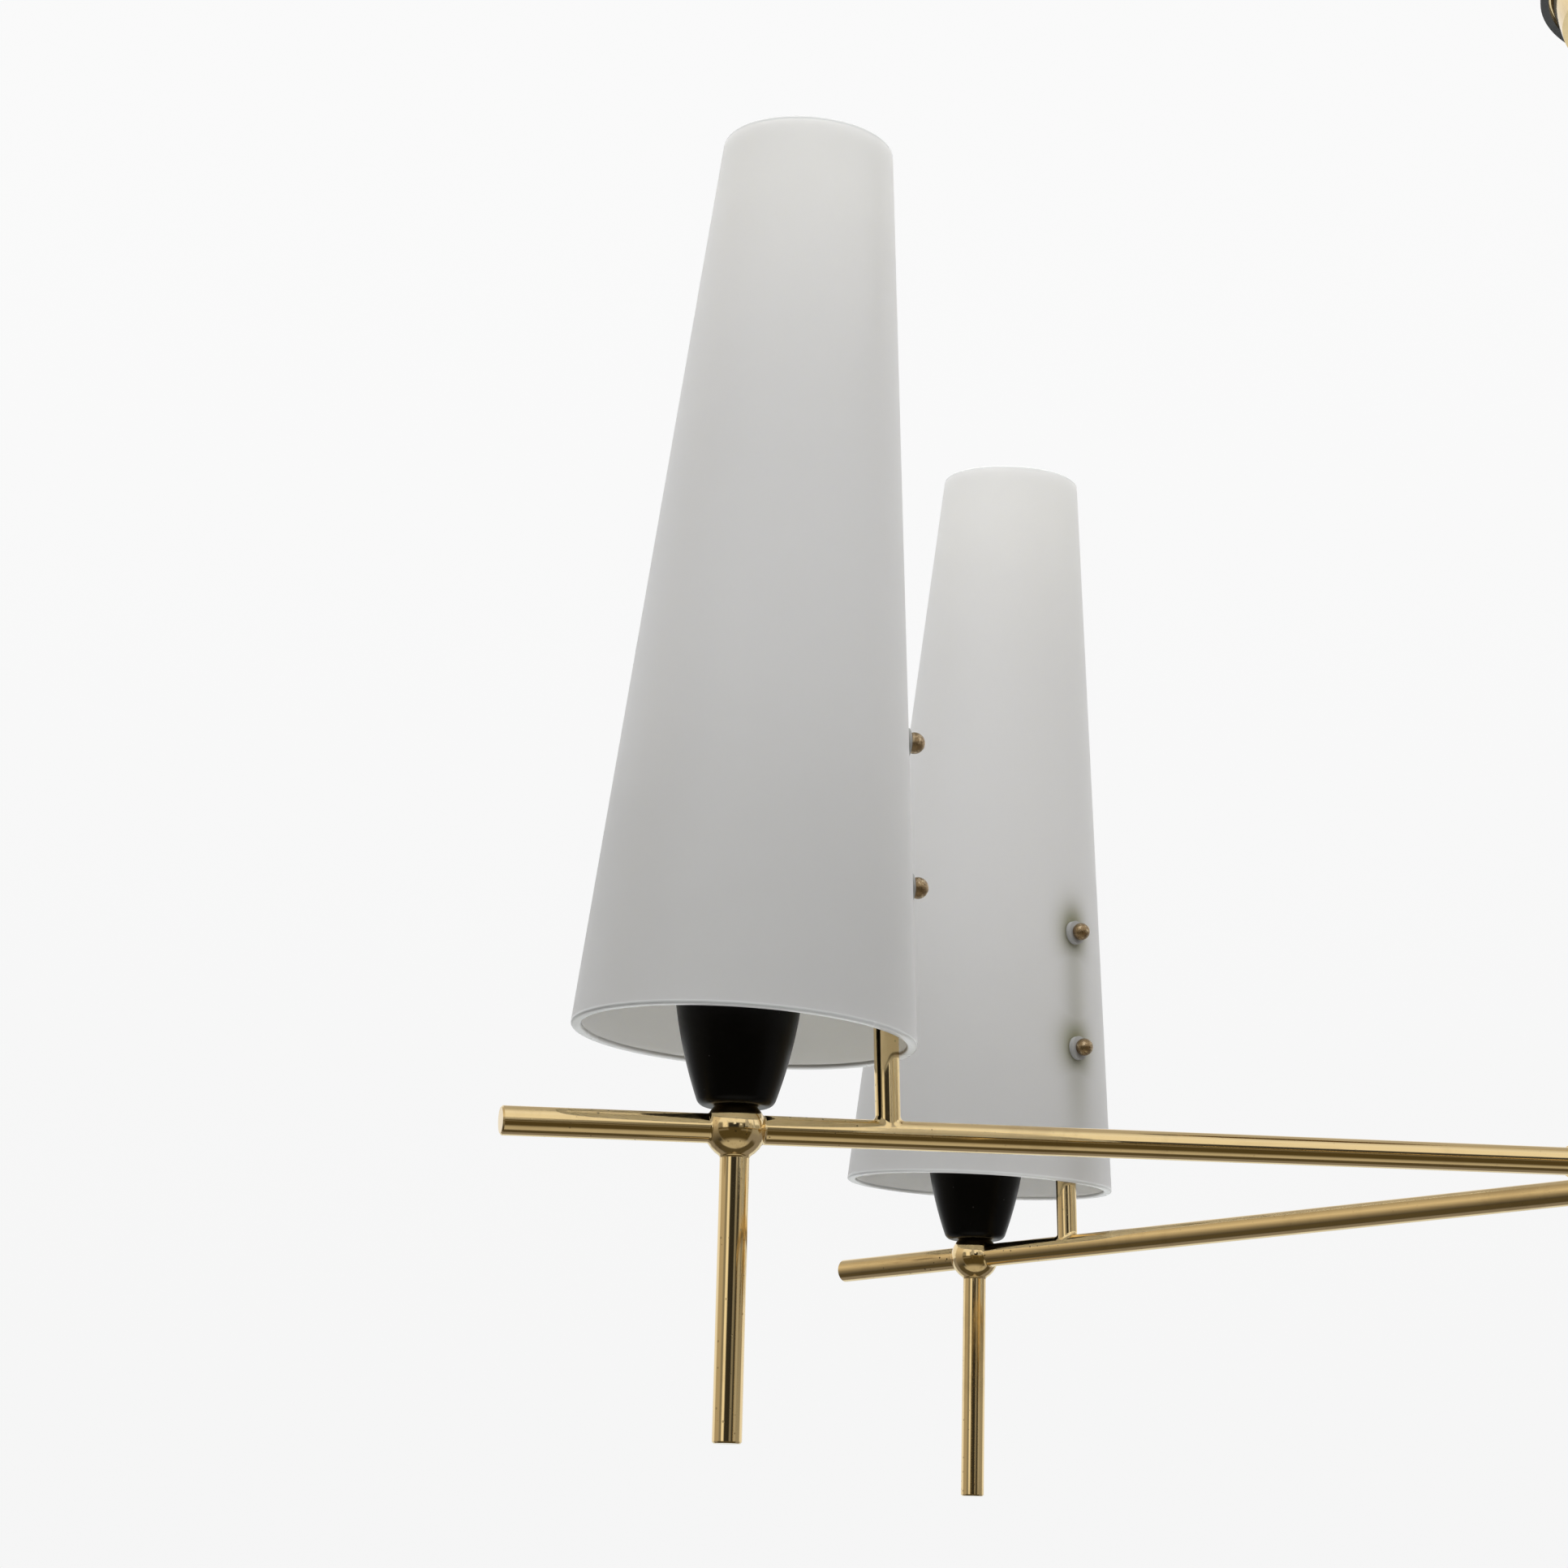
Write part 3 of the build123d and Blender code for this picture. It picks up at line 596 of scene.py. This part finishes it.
METAL = {"Metallic": 1.0}
LACQUER = {"Coat_Weight": 0.04, "Coat_Roughness": 0.15}
OPAL = {"IOR": 1.5, "Subsurface_Scale": 0.018, "Subsurface_Radius": (1.0, 1.0, 0.9)}
FINISHES = {  # maker, plain values of the shader, and settings for the maker
    "brass_arms": (brass_finish, METAL, {"level_stretch": 0.06, "upright_stretch": 1.0, "worn": 1.0}),
    "brass_uprights": (brass_finish, METAL, {"level_stretch": 1.0, "upright_stretch": 0.06, "worn": 0.35}),
    "brass_round": (brass_finish, METAL, {"level_stretch": 1.0, "upright_stretch": 1.0, "worn": 0.5}),
    "brass_aged": (old_brass_finish, METAL, {}),
    "lacquer_satin": (lacquer_finish, LACQUER | {"Specular_IOR_Level": 0.12}, {}),
    "lacquer_ceiling_ring": (lacquer_finish, LACQUER | {"Specular_IOR_Level": 0.3}, {}),
    "opal_glass_outside": (
        glass_finish,
        OPAL | {"Subsurface_Weight": 0.5},
        {"tone": "glass", "roughness": 0.40, "painted_shade": True},
    ),
    "opal_glass_inside": (
        glass_finish,
        OPAL | {"Subsurface_Weight": 1.0},
        {"tone": "glass_inside", "roughness": 0.34},
    ),
    "opal_glass_rim": (glass_finish, OPAL | {"Subsurface_Weight": 0.0}, {"tone": "glass_rim", "roughness": 0.22}),
    "plastic_washer": (plastic_finish, {}, {"tone": "washer", "roughness": 0.34}),
    "bakelite_moulded": (plastic_finish, {}, {"tone": "bakelite", "roughness": 0.33}),
    "plastic_ivory": (plastic_finish, {}, {"tone": "ivory", "roughness": 0.42}),
    "sheath_braided": (plastic_finish, {}, {"tone": "sheath", "roughness": 0.55}),
    "steel_zinc_plated": (zinc_finish, METAL, {}),
}


def finish(name):
    """The material of a finish, made the first time that it is asked for."""
    if name in bpy.data.materials:
        return bpy.data.materials[name]
    make, plain, settings = FINISHES[name]
    material, tree, shader, spot = new_finish(name, **plain)
    changing = make(tree, spot, bpy.context.scene.chandelier_finishes, **settings)
    for socket, value in zip(("Base Color", "Roughness", "Normal"), changing):
        tree.links.new(value, shader.inputs[socket])
    return material


def dress(name, *nodes):
    """Gives solids a finish in place of their plain colour."""
    for node in nodes:
        for slot in NODES[node].material_slots:
            slot.material = finish(name)


def each(stem):
    """Names of the like nodes of all arms."""
    return [f"{stem}_{number}" for number in ARMS]


# Operators


class CHANDELIER_OT_brass(bpy.types.Operator):
    """Dress the arms, balls, rods, hub, stem and dish in polished brass"""

    bl_idname = "chandelier.brass"
    bl_label = "Polished Brass"

    def execute(self, context):
        dress("brass_arms", *each("arm_tube"), "arm_ferrules")
        dress("brass_uprights", *each("shade_upright"), "drop_rods", "stem_tube")
        dress("brass_round", "end_balls", "hub_drum", "hub_cover", "hub_finial", "canopy_dish", "canopy_collar")
        return {"FINISHED"}


class CHANDELIER_OT_solder(bpy.types.Operator):
    """Add the solder fillets round the balls, at the feet of the uprights and on the hub"""

    bl_idname = "chandelier.solder"
    bl_label = "Solder Fillets"

    def execute(self, context):
        sizes = context.scene.chandelier_solder
        rings, saddles, collars = [], [], []
        for number in ARMS:
            ball, along, outward = arm_facts(number)
            crossways = UP.cross(outward)
            for axis in (along, -along, -UP):
                rings.append(turned(self.ring(sizes), looking(ball, axis, crossways), segments=64))
            saddles.append(self.saddle(sizes, number))
            foot = hub_middle() + along * sizes.hub_radius
            collars.append(turned(self.collar(sizes), looking(foot, along, crossways), segments=48))
        for name, shapes in (("solder_rings", rings), ("solder_saddles", saddles), ("solder_collars", collars)):
            shown(name, together(shapes), "chandelier", [finish("brass_round")], crease=80)
        return {"FINISHED"}

    @staticmethod
    def ring(sizes, steps=8):
        """Section of a fillet between a ball and a rod that leaves it along Z."""
        far, high = sizes.ball_radius + sizes.bead, sizes.rod_radius + sizes.bead
        middle = Vector((high, sqrt(far**2 - high**2)))
        inward = Vector((-1, 0))
        arc = [middle + (-middle).slerp(inward, step / steps) * sizes.bead for step in range(steps + 1)]
        root = Vector((sizes.rod_radius, sqrt(sizes.ball_radius**2 - sizes.rod_radius**2)))
        # The section closes a little inside the ball and the rod
        return [arc[0] * 0.995, *arc, arc[-1] + Vector((-0.00005, 0.00002)), root * 0.96]

    @staticmethod
    def collar(sizes, steps=6, sunk=0.00018):
        """Section of a fillet between the hub's side and a ferrule that leaves it along Z."""
        radius, bead = sizes.ferrule_radius, sizes.bead
        turns = [pi / 2 * step / steps for step in range(steps + 1)]
        arc = [(radius + bead * (1 - sin(turn)), bead * (1 - cos(turn)) - sunk) for turn in turns]
        return arc + [(radius - sunk, -2 * sunk)]

    @staticmethod
    def saddle(sizes, number, segments=48, steps=6, sunk=0.00003):
        """Shape of the fillet where an upright stands on its arm."""
        ball, along, _ = arm_facts(number)
        lower, rise, into = wall_facts(number)
        start = lower + into * sizes.upright_inset
        across = rise.cross(along).normalized()
        normal = along.cross(across)
        cross = start + rise * ((ball - start).dot(normal) / rise.dot(normal))
        front = (along - rise * along.dot(rise)).normalized()
        rings = []
        for segment in range(segments):
            turn = 2 * pi * segment / segments
            spoke = front * cos(turn) + across * sin(turn)
            # Where this side of the upright meets the arm tube
            side = spoke * sizes.upright_radius
            flat_side, flat_rise = side - along * side.dot(along), rise - along * rise.dot(along)
            a, b = flat_rise.dot(flat_rise), 2 * flat_side.dot(flat_rise)
            c = flat_side.dot(flat_side) - sizes.rod_radius**2
            lift = (-b + sqrt(max(b * b - 4 * a * c, 0))) / (2 * a)
            meet = cross + side + rise * lift
            # From the end of the solder on the tube, past the corner, to its top on the upright
            face = ((meet - cross) - along * (meet - cross).dot(along)).normalized()
            run = (spoke - face * spoke.dot(face)).normalized()
            top = meet + rise * sizes.saddle - spoke * sunk
            end = meet + run * sizes.saddle
            reach = (end - cross).dot(along)
            off = (end - cross) - along * reach
            end = cross + along * reach + off.normalized() * (sizes.rod_radius - sunk)
            shares = [step / steps for step in range(steps + 1)]
            ring = [end * (1 - t) ** 2 + meet * 2 * t * (1 - t) + top * t**2 for t in shares]
            rings.append([*ring, meet - (face + spoke) * 10 * sunk])
        rows = steps + 2
        return skinned(rings, [row / rows for row in range(rows + 1)], [0] * rows)


class CHANDELIER_OT_shades(bpy.types.Operator):
    """Turn the tapered opal glass shades, with fire-polished rims"""

    bl_idname = "chandelier.shades"
    bl_label = "Glass Shades"

    def execute(self, context):
        sizes = context.scene.chandelier_shades
        materials = [finish(f"opal_glass_{band}") for band in ("outside", "inside", "rim")]
        level_wall = sizes.wall / cos(glass_taper(sizes))
        outline = [
            (sizes.foot_radius, 0),
            (sizes.top_radius, sizes.height),
            (sizes.top_radius - level_wall, sizes.height),
            (sizes.foot_radius - level_wall, 0),
        ]
        soft = eased(outline, sizes.rim)
        count = len(soft) // len(outline)
        foot, top, inner_top, inner_foot = (soft[count * index : count * (index + 1)] for index in range(4))
        outside = between(foot[-1], top[0], edge=0.0004, rows=14)
        inside = between(inner_top[-1], inner_foot[0], edge=0.0004, rows=14)
        profile = outside + top + inner_top + inside + inner_foot + foot
        runs = [OUTSIDE] * (len(outside) - 1) + [RIM] * (len(top + inner_top) + 1)
        runs += [INSIDE] * (len(inside) - 1)
        runs += [RIM] * (len(profile) - len(runs))
        for number in ARMS:
            shape = turned(profile, glass_place(number), segments=144, bands=runs)
            glass = shown(f"glass_{number}", shape, "chandelier", materials, crease=60)
            self.drill(context, glass, number, sizes)
            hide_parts(f"shade_{number}")
        return {"FINISHED"}

    @staticmethod
    def drill(context, glass, number, sizes):
        """Cuts the two screw holes through a glass, square to its wall."""
        lower, up_wall, into = wall_facts(number)
        drills = bmesh.new()
        for height in (0.0, sizes.upper_screw - sizes.lower_screw):
            bmesh.ops.create_cone(
                drills,
                cap_ends=True,
                segments=40,
                radius1=sizes.hole,
                radius2=sizes.hole,
                depth=4 * sizes.wall,
                matrix=looking(lower + up_wall * height, into, up_wall),
            )
        for face in drills.faces:
            face.material_index = INSIDE
            face.smooth = True
        mesh = bpy.data.meshes.new("screw_drills")
        drills.to_mesh(mesh)
        drills.free()
        for material in glass.data.materials:
            mesh.materials.append(material)
        tool = bpy.data.objects.new("screw_drills", mesh)
        context.scene.collection.objects.link(tool)
        cut = glass.modifiers.new("screw_holes", "BOOLEAN")
        cut.object = tool
        cut.solver = "EXACT"
        whole = glass.data
        glass.data = bpy.data.meshes.new_from_object(glass.evaluated_get(context.evaluated_depsgraph_get()))
        glass.data.name = glass.name
        glass.data.set_sharp_from_angle(angle=radians(60))
        glass.modifiers.remove(cut)
        if len(glass.data.polygons) == len(whole.polygons):
            raise RuntimeError(f"{glass.name} has no screw holes")
        bpy.data.objects.remove(tool)
        bpy.data.meshes.remove(mesh)
        bpy.data.meshes.remove(whole)


class CHANDELIER_OT_cups(bpy.types.Operator):
    """Dress the lamp cups and the ceiling ring in black lacquer"""

    bl_idname = "chandelier.cups"
    bl_label = "Black Lacquer"

    def execute(self, context):
        dress("lacquer_satin", *each("lamp_cup"))
        dress("lacquer_ceiling_ring", "canopy_shell")
        return {"FINISHED"}


class CHANDELIER_OT_screws(bpy.types.Operator):
    """Dress the ball-headed screws and their washers"""

    bl_idname = "chandelier.screws"
    bl_label = "Screws and Washers"

    def execute(self, context):
        dress("brass_aged", *(name for name in NODES if name.startswith("shade_screw_")), "canopy_lock_screw")
        dress("plastic_washer", "shade_washers")
        return {"FINISHED"}


class CHANDELIER_OT_lamp_holders(bpy.types.Operator):
    """Dress the lamp holders, and add their threaded liners and centre contacts"""

    bl_idname = "chandelier.lamp_holders"
    bl_label = "Lamp Holders"

    def execute(self, context):
        sizes = context.scene.chandelier_lamps
        dress("bakelite_moulded", *each("lamp_holder"))
        dress("steel_zinc_plated", "lamp_nipples")
        liners, contacts = [], []
        for number in ARMS:
            ball, _, outward = arm_facts(number)
            middle = ball + UP * sizes.socket_middle
            base = middle - UP * sizes.contact_drop
            liners.append(self.liner(sizes, looking(middle, UP, outward)))
            contacts.append(turned(self.contact(sizes), looking(base, UP, outward), segments=32))
        for name, shapes in (("socket_liners", liners), ("socket_contacts", contacts)):
            shown(name, together(shapes), "chandelier", [finish("brass_round")])
        return {"FINISHED"}

    @staticmethod
    def contact(sizes, steps=8):
        """Section of a domed centre contact."""
        turns = [pi / 2 * step / steps for step in range(steps)]
        radius, height = sizes.contact_radius, sizes.contact_height
        return [(0, 0), *((radius * cos(t), height * sin(t)) for t in turns), (0, height)]

    @staticmethod
    def liner(sizes, spot, rows_per_turn=10):
        """Shape of a thin liner with a rolled thread."""
        rows = round(sizes.liner_height / sizes.pitch * rows_per_turn)
        levels = [sizes.liner_height * (row / rows - 0.5) for row in range(rows + 1)]
        half = sizes.liner_wall / 2
        outside = [(sizes.liner_radius + half, height) for height in levels]
        inside = [(sizes.liner_radius - half, height) for height in reversed(levels)]

        def thread(turn, height):
            return sizes.thread * cos(2 * pi * height / sizes.pitch - turn)

        return turned(outside + inside, spot, segments=40, swell=thread)


class CHANDELIER_OT_ceiling_fittings(bpy.types.Operator):
    """Dress the bracket, nuts, terminal block and wires, and add the terminal screws"""

    bl_idname = "chandelier.ceiling_fittings"
    bl_label = "Ceiling Fittings"

    terminal_pitch = 0.0076
    screw_places = (0.28, 0.72)  # of the two screws of a terminal, as shares of the block's length
    screw_head = (  # section: sunk foot, side, bevel, rim and dished middle
        (0, -0.0006),
        (0.00175, -0.0006),
        (0.00175, 0.0004),
        (0.0014, 0.0007),
        (0.0006, 0.0007),
        (0.0005, 0.0002),
        (0, 0.0002),
    )

    def execute(self, context):
        dress("steel_zinc_plated", "ceiling_bracket", "stem_nuts")
        dress("plastic_ivory", "terminal_block", "hub_connector")
        dress("sheath_braided", "wiring")
        low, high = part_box("terminal_block")
        shapes = []
        for row in (-1, 0, 1):
            across = (low.y + high.y) / 2 + row * self.terminal_pitch
            for share in self.screw_places:
                spot = Vector((low.x + (high.x - low.x) * share, across, high.z))
                shapes.append(turned(self.screw_head, looking(spot, UP, SIDEWAYS), segments=24))
        shown("terminal_screws", together(shapes), "chandelier", [finish("steel_zinc_plated")])
        return {"FINISHED"}


class CHANDELIER_OT_stage(bpy.types.Operator):
    """Set up the floor, the soft light, the backdrop and the camera"""

    bl_idname = "chandelier.stage"
    bl_label = "Studio"

    lights = {  # place, the point that it is aimed at, and width
        "key": ((-1.15, -1.15, 0.45), (-0.2, 0.08, -0.33), 1.2),
        "top": ((-0.2, -0.1, 0.42), (-0.2, -0.1, -0.33), 2.4),
        "low": ((-0.1, 0.1, -1.1), (-0.1, 0.1, -0.33), 0.8),
    }

    def execute(self, context):
        scene, studio = context.scene, context.scene.chandelier_studio
        scene.view_settings.view_transform = "Standard"
        self.floor(scene, studio)
        self.backdrop(scene, studio)
        for name, (spot, target, size) in self.lights.items():
            self.light(scene, f"{name}_light", Vector(spot), Vector(target), size, getattr(studio, name))
        self.camera(scene, studio)
        return {"FINISHED"}

    @staticmethod
    def light(scene, name, spot, target, size, power):
        """A square soft box aimed at the object."""
        data = bpy.data.lights.new(name, "AREA")
        data.size = size
        data.energy = power
        lamp = bpy.data.objects.new(name, data)
        lamp.matrix_world = looking(spot, spot - target, SIDEWAYS)
        lamp.visible_camera = lamp.visible_glossy = False
        scene.collection.objects.link(lamp)

    @staticmethod
    def floor(scene, studio):
        """A wide pale floor that fades into the backdrop."""
        segments, radii = 96, (1.0, 3.0, 9.0)
        fade_start, fade_end = 0.45, 2.1
        points, faces = [(0, 0, studio.floor)], []
        for radius in radii:
            for step in range(segments):
                turn = 2 * pi * step / segments
                points.append((radius * cos(turn), radius * sin(turn), studio.floor))
        for step in range(segments):
            after = (step + 1) % segments
            faces.append((0, 1 + step, 1 + after))
            for ring in range(len(radii) - 1):
                here, there = 1 + ring * segments, 1 + (ring + 1) * segments
                faces.append((here + step, there + step, there + after, here + after))
        mesh = bpy.data.meshes.new("studio_floor")
        mesh.from_pydata(points, [], faces)
        material, tree, shader, spot = new_finish("studio_floor", Roughness=0.7)
        grain = noise(tree, spot, scale=40.0, detail=3.0, rough=0.5)
        base = blend(tree, grain, tinted(studio.floor_colour, 0.985), tinted(studio.floor_colour, 1.01))
        tree.links.new(base, shader.inputs["Base Color"])
        flat = add(tree, "ShaderNodeVectorMath", {0: spot, 1: (1, 1, 0)}, operation="MULTIPLY").outputs[0]
        far = add(tree, "ShaderNodeVectorMath", {0: flat}, operation="LENGTH").outputs["Value"]
        path = add(tree, "ShaderNodeLightPath").outputs
        share = product(tree, ramp(tree, far, fade_start, fade_end), path["Is Camera Ray"])
        glow = add(tree, "ShaderNodeEmission", {"Color": (studio.backdrop_low,) * 3 + (1,)})
        both = add(tree, "ShaderNodeMixShader", {0: share, 1: shader.outputs[0], 2: glow.outputs[0]})
        below = add(tree, "ShaderNodeNewGeometry").outputs["Backfacing"]
        clear = add(tree, "ShaderNodeBsdfTransparent")
        whole = add(tree, "ShaderNodeMixShader", {0: below, 1: both.outputs[0], 2: clear.outputs[0]})
        tree.links.new(whole.outputs[0], tree.nodes["Material Output"].inputs["Surface"])
        mesh.materials.append(material)
        floor = bpy.data.objects.new("studio_floor", mesh)
        floor.visible_glossy = floor.visible_diffuse = False
        scene.collection.objects.link(floor)

    def backdrop(self, scene, studio):
        """A white backdrop, with the darker room behind the camera for the metal to show, and an even fill."""
        world = bpy.data.worlds.new("studio_backdrop")
        scene.world = world
        world.use_nodes = True
        tree = world.node_tree
        tree.nodes.clear()
        way = add(tree, "ShaderNodeTexCoord").outputs["Generated"]
        up = add(tree, "ShaderNodeSeparateXYZ", {0: way}).outputs["Z"]
        behind, left = (-sin(studio.yaw), -cos(studio.yaw), 0), (-cos(studio.yaw), sin(studio.yaw), 0)
        toward, aside = (
            add(tree, "ShaderNodeVectorMath", {0: way, 1: axis}, operation="DOT_PRODUCT").outputs["Value"]
            for axis in (behind, left)
        )
        horizon, overhead = 0.0, 0.45
        white = ramp(tree, up, horizon, overhead, studio.backdrop_low, studio.backdrop_high)
        tone = white
        for paint, *fades in self.zones(tree, up, toward, aside):
            share = product(tree, *(ramp(tree, *fade) for fade in fades))
            tone = blend(tree, share, tone, paint)
        path = add(tree, "ShaderNodeLightPath").outputs
        seen = blend(tree, path["Is Glossy Ray"], white, tone)
        picture = add(tree, "ShaderNodeBackground", {"Color": seen, "Strength": 1.0})
        fill_from_below = 0.2 * studio.fill
        soft = ramp(tree, up, -0.7, 0.3, fill_from_below, studio.fill)
        fill = add(tree, "ShaderNodeBackground", {"Color": (1, 1, 1, 1), "Strength": soft})
        share = maths(tree, "MAXIMUM", path["Is Camera Ray"], path["Is Glossy Ray"])
        share = maths(tree, "MAXIMUM", share, path["Is Transmission Ray"])
        both = add(tree, "ShaderNodeMixShader", {0: share, 1: fill.outputs[0], 2: picture.outputs[0]})
        add(tree, "ShaderNodeOutputWorld", {"Surface": both.outputs[0]})

    def zones(self, tree, up, toward, aside):
        """What the metal mirrors, laid one over another: a tone, and where along each direction it fades in."""
        far_side = self.tones(
            tree,
            aside,
            (
                (-1.00, 0.25), (-0.88, 0.46), (-0.76, 0.42), (-0.70, 0.06), (-0.55, 0.05), (-0.45, 0.25),
                (-0.30, 0.25), (-0.20, 0.03), (0.38, 0.04), (0.52, 1.00), (0.68, 1.00), (0.76, 0.24),
                (1.00, 0.34),
            ),
            tint=(1.0, 0.96, 0.86),
        )
        side_wall = self.tones(
            tree,
            up,
            (
                (-1.00, 0.06), (-0.60, 0.05), (-0.39, 0.15), (-0.14, 0.28), (0.12, 0.52), (0.38, 0.76),
                (0.60, 0.62), (0.80, 0.44),
            ),
            tint=(1.0, 0.90, 0.74),
        )
        room = blend(tree, ramp(tree, up, 0.24, 0.36), far_side, (0.94, 0.92, 0.87))
        in_front = (toward, 0.32, 0.46)
        below = (up, 0.04, -0.06)
        floor, strip_beneath = (0.27, 0.255, 0.25), (0.80, 0.83, 0.82)
        ceiling, sides = (0.50, 0.48, 0.45), (0.34, 0.33, 0.30)
        dark_floor, dark_underside = (0.085, 0.066, 0.030), (0.095, 0.080, 0.050)
        sheet, sheet_edge, pane = (0.52, 0.49, 0.42), (0.20, 0.18, 0.14), (1.0, 1.0, 1.0)
        facing = (toward, 0.0, 0.2)
        return (
            (floor, below),
            (strip_beneath, below, (toward, -0.70, -0.80)),
            (ceiling, (up, 0.50, 0.70), (toward, 0.42, -0.20)),
            (sides, (toward, -0.45, -0.20), (up, 0.26, 0.16), (up, -0.30, -0.12)),
            (room, in_front, (up, 0.82, 0.72)),
            (dark_floor, in_front, (up, 0.06, -0.04)),
            (side_wall, (aside, 0.15, 0.50), (toward, 0.46, 0.32), (toward, -0.45, -0.28)),
            (dark_underside, (up, -0.45, -0.60), (toward, 0.18, 0.06), (toward, -0.38, -0.26)),
            (sheet, (up, -0.58, -0.84), (toward, 0.06, 0.18)),
            (sheet_edge, (up, -0.20, -0.16), (up, -0.06, -0.10), in_front, (toward, 0.93, 0.88)),
            (pane, (aside, -0.07, -0.03), (aside, 0.12, 0.08), (up, 0.18, 0.22), (up, 0.36, 0.32), facing),
            (pane, (aside, -0.44, -0.40), (aside, -0.28, -0.32), (up, 0.12, 0.16), (up, 0.26, 0.22), facing),
        )

    @staticmethod
    def tones(tree, value, stops, tint):
        """Tinted tones along a value that goes from -1 to 1."""
        stops = [(0.5 + 0.5 * spot, (*(tone * part for part in tint), 1)) for spot, tone in stops]
        node = add(tree, "ShaderNodeValToRGB", {"Fac": maths(tree, "MULTIPLY_ADD", value, 0.5, 0.5)})
        points = node.color_ramp.elements
        for index in (-1, 0):
            points[index].position, points[index].color = stops[index]
        for spot, tone in stops[1:-1]:
            points.new(spot).color = tone
        return node.outputs["Color"]

    @staticmethod
    def camera(scene, studio):
        """The camera, from its place, yaw, pitch and roll."""
        yaw, pitch, roll = studio.yaw, studio.pitch, studio.roll
        ahead = Vector((sin(yaw) * cos(pitch), cos(yaw) * cos(pitch), sin(pitch)))
        right = Vector((cos(yaw), -sin(yaw), 0))
        down = ahead.cross(right)
        x = right * cos(roll) + down * sin(roll)
        y = right * sin(roll) - down * cos(roll)
        data = bpy.data.cameras.new("camera")
        data.sensor_width = 36
        data.lens = studio.lens
        data.clip_start, data.clip_end = 0.02, 60
        camera = bpy.data.objects.new("camera", data)
        camera.matrix_world = Matrix.Translation(studio.camera) @ Matrix((x, y, -ahead)).transposed().to_4x4()
        scene.collection.objects.link(camera)
        scene.camera = camera


OPERATORS = (
    CHANDELIER_OT_stage,
    CHANDELIER_OT_brass,
    CHANDELIER_OT_solder,
    CHANDELIER_OT_cups,
    CHANDELIER_OT_shades,
    CHANDELIER_OT_screws,
    CHANDELIER_OT_lamp_holders,
    CHANDELIER_OT_ceiling_fittings,
)
GROUPS = {
    "chandelier_shades": ShadeSizes,
    "chandelier_solder": SolderSizes,
    "chandelier_lamps": LampSizes,
    "chandelier_finishes": Finishes,
    "chandelier_studio": Studio,
}


class CHANDELIER_PT_panel(bpy.types.Panel):
    """Sizes, colours and steps of the chandelier"""

    bl_idname = "CHANDELIER_PT_panel"
    bl_label = "Chandelier"
    bl_space_type = "VIEW_3D"
    bl_region_type = "UI"
    bl_category = "Chandelier"

    def draw(self, context):
        for operator in OPERATORS:
            self.layout.operator(operator.bl_idname)
        for group in GROUPS:
            box = self.layout.box()
            box.label(text=GROUPS[group].__doc__.rstrip("."))
            settings = getattr(context.scene, group)
            for name in GROUPS[group].__annotations__:
                box.prop(settings, name)


def register():
    for group in GROUPS:
        bpy.utils.register_class(GROUPS[group])
        setattr(bpy.types.Scene, group, bpy.props.PointerProperty(type=GROUPS[group]))
    for item in (*OPERATORS, CHANDELIER_PT_panel):
        bpy.utils.register_class(item)


def unregister():
    for item in (CHANDELIER_PT_panel, *reversed(OPERATORS)):
        bpy.utils.unregister_class(item)
    for group in reversed(GROUPS):
        delattr(bpy.types.Scene, group)
        bpy.utils.unregister_class(GROUPS[group])


def main():
    register()
    for operator in OPERATORS:
        family, step = operator.bl_idname.split(".")
        getattr(getattr(bpy.ops, family), step)()


if __name__ == "__main__":
    main()
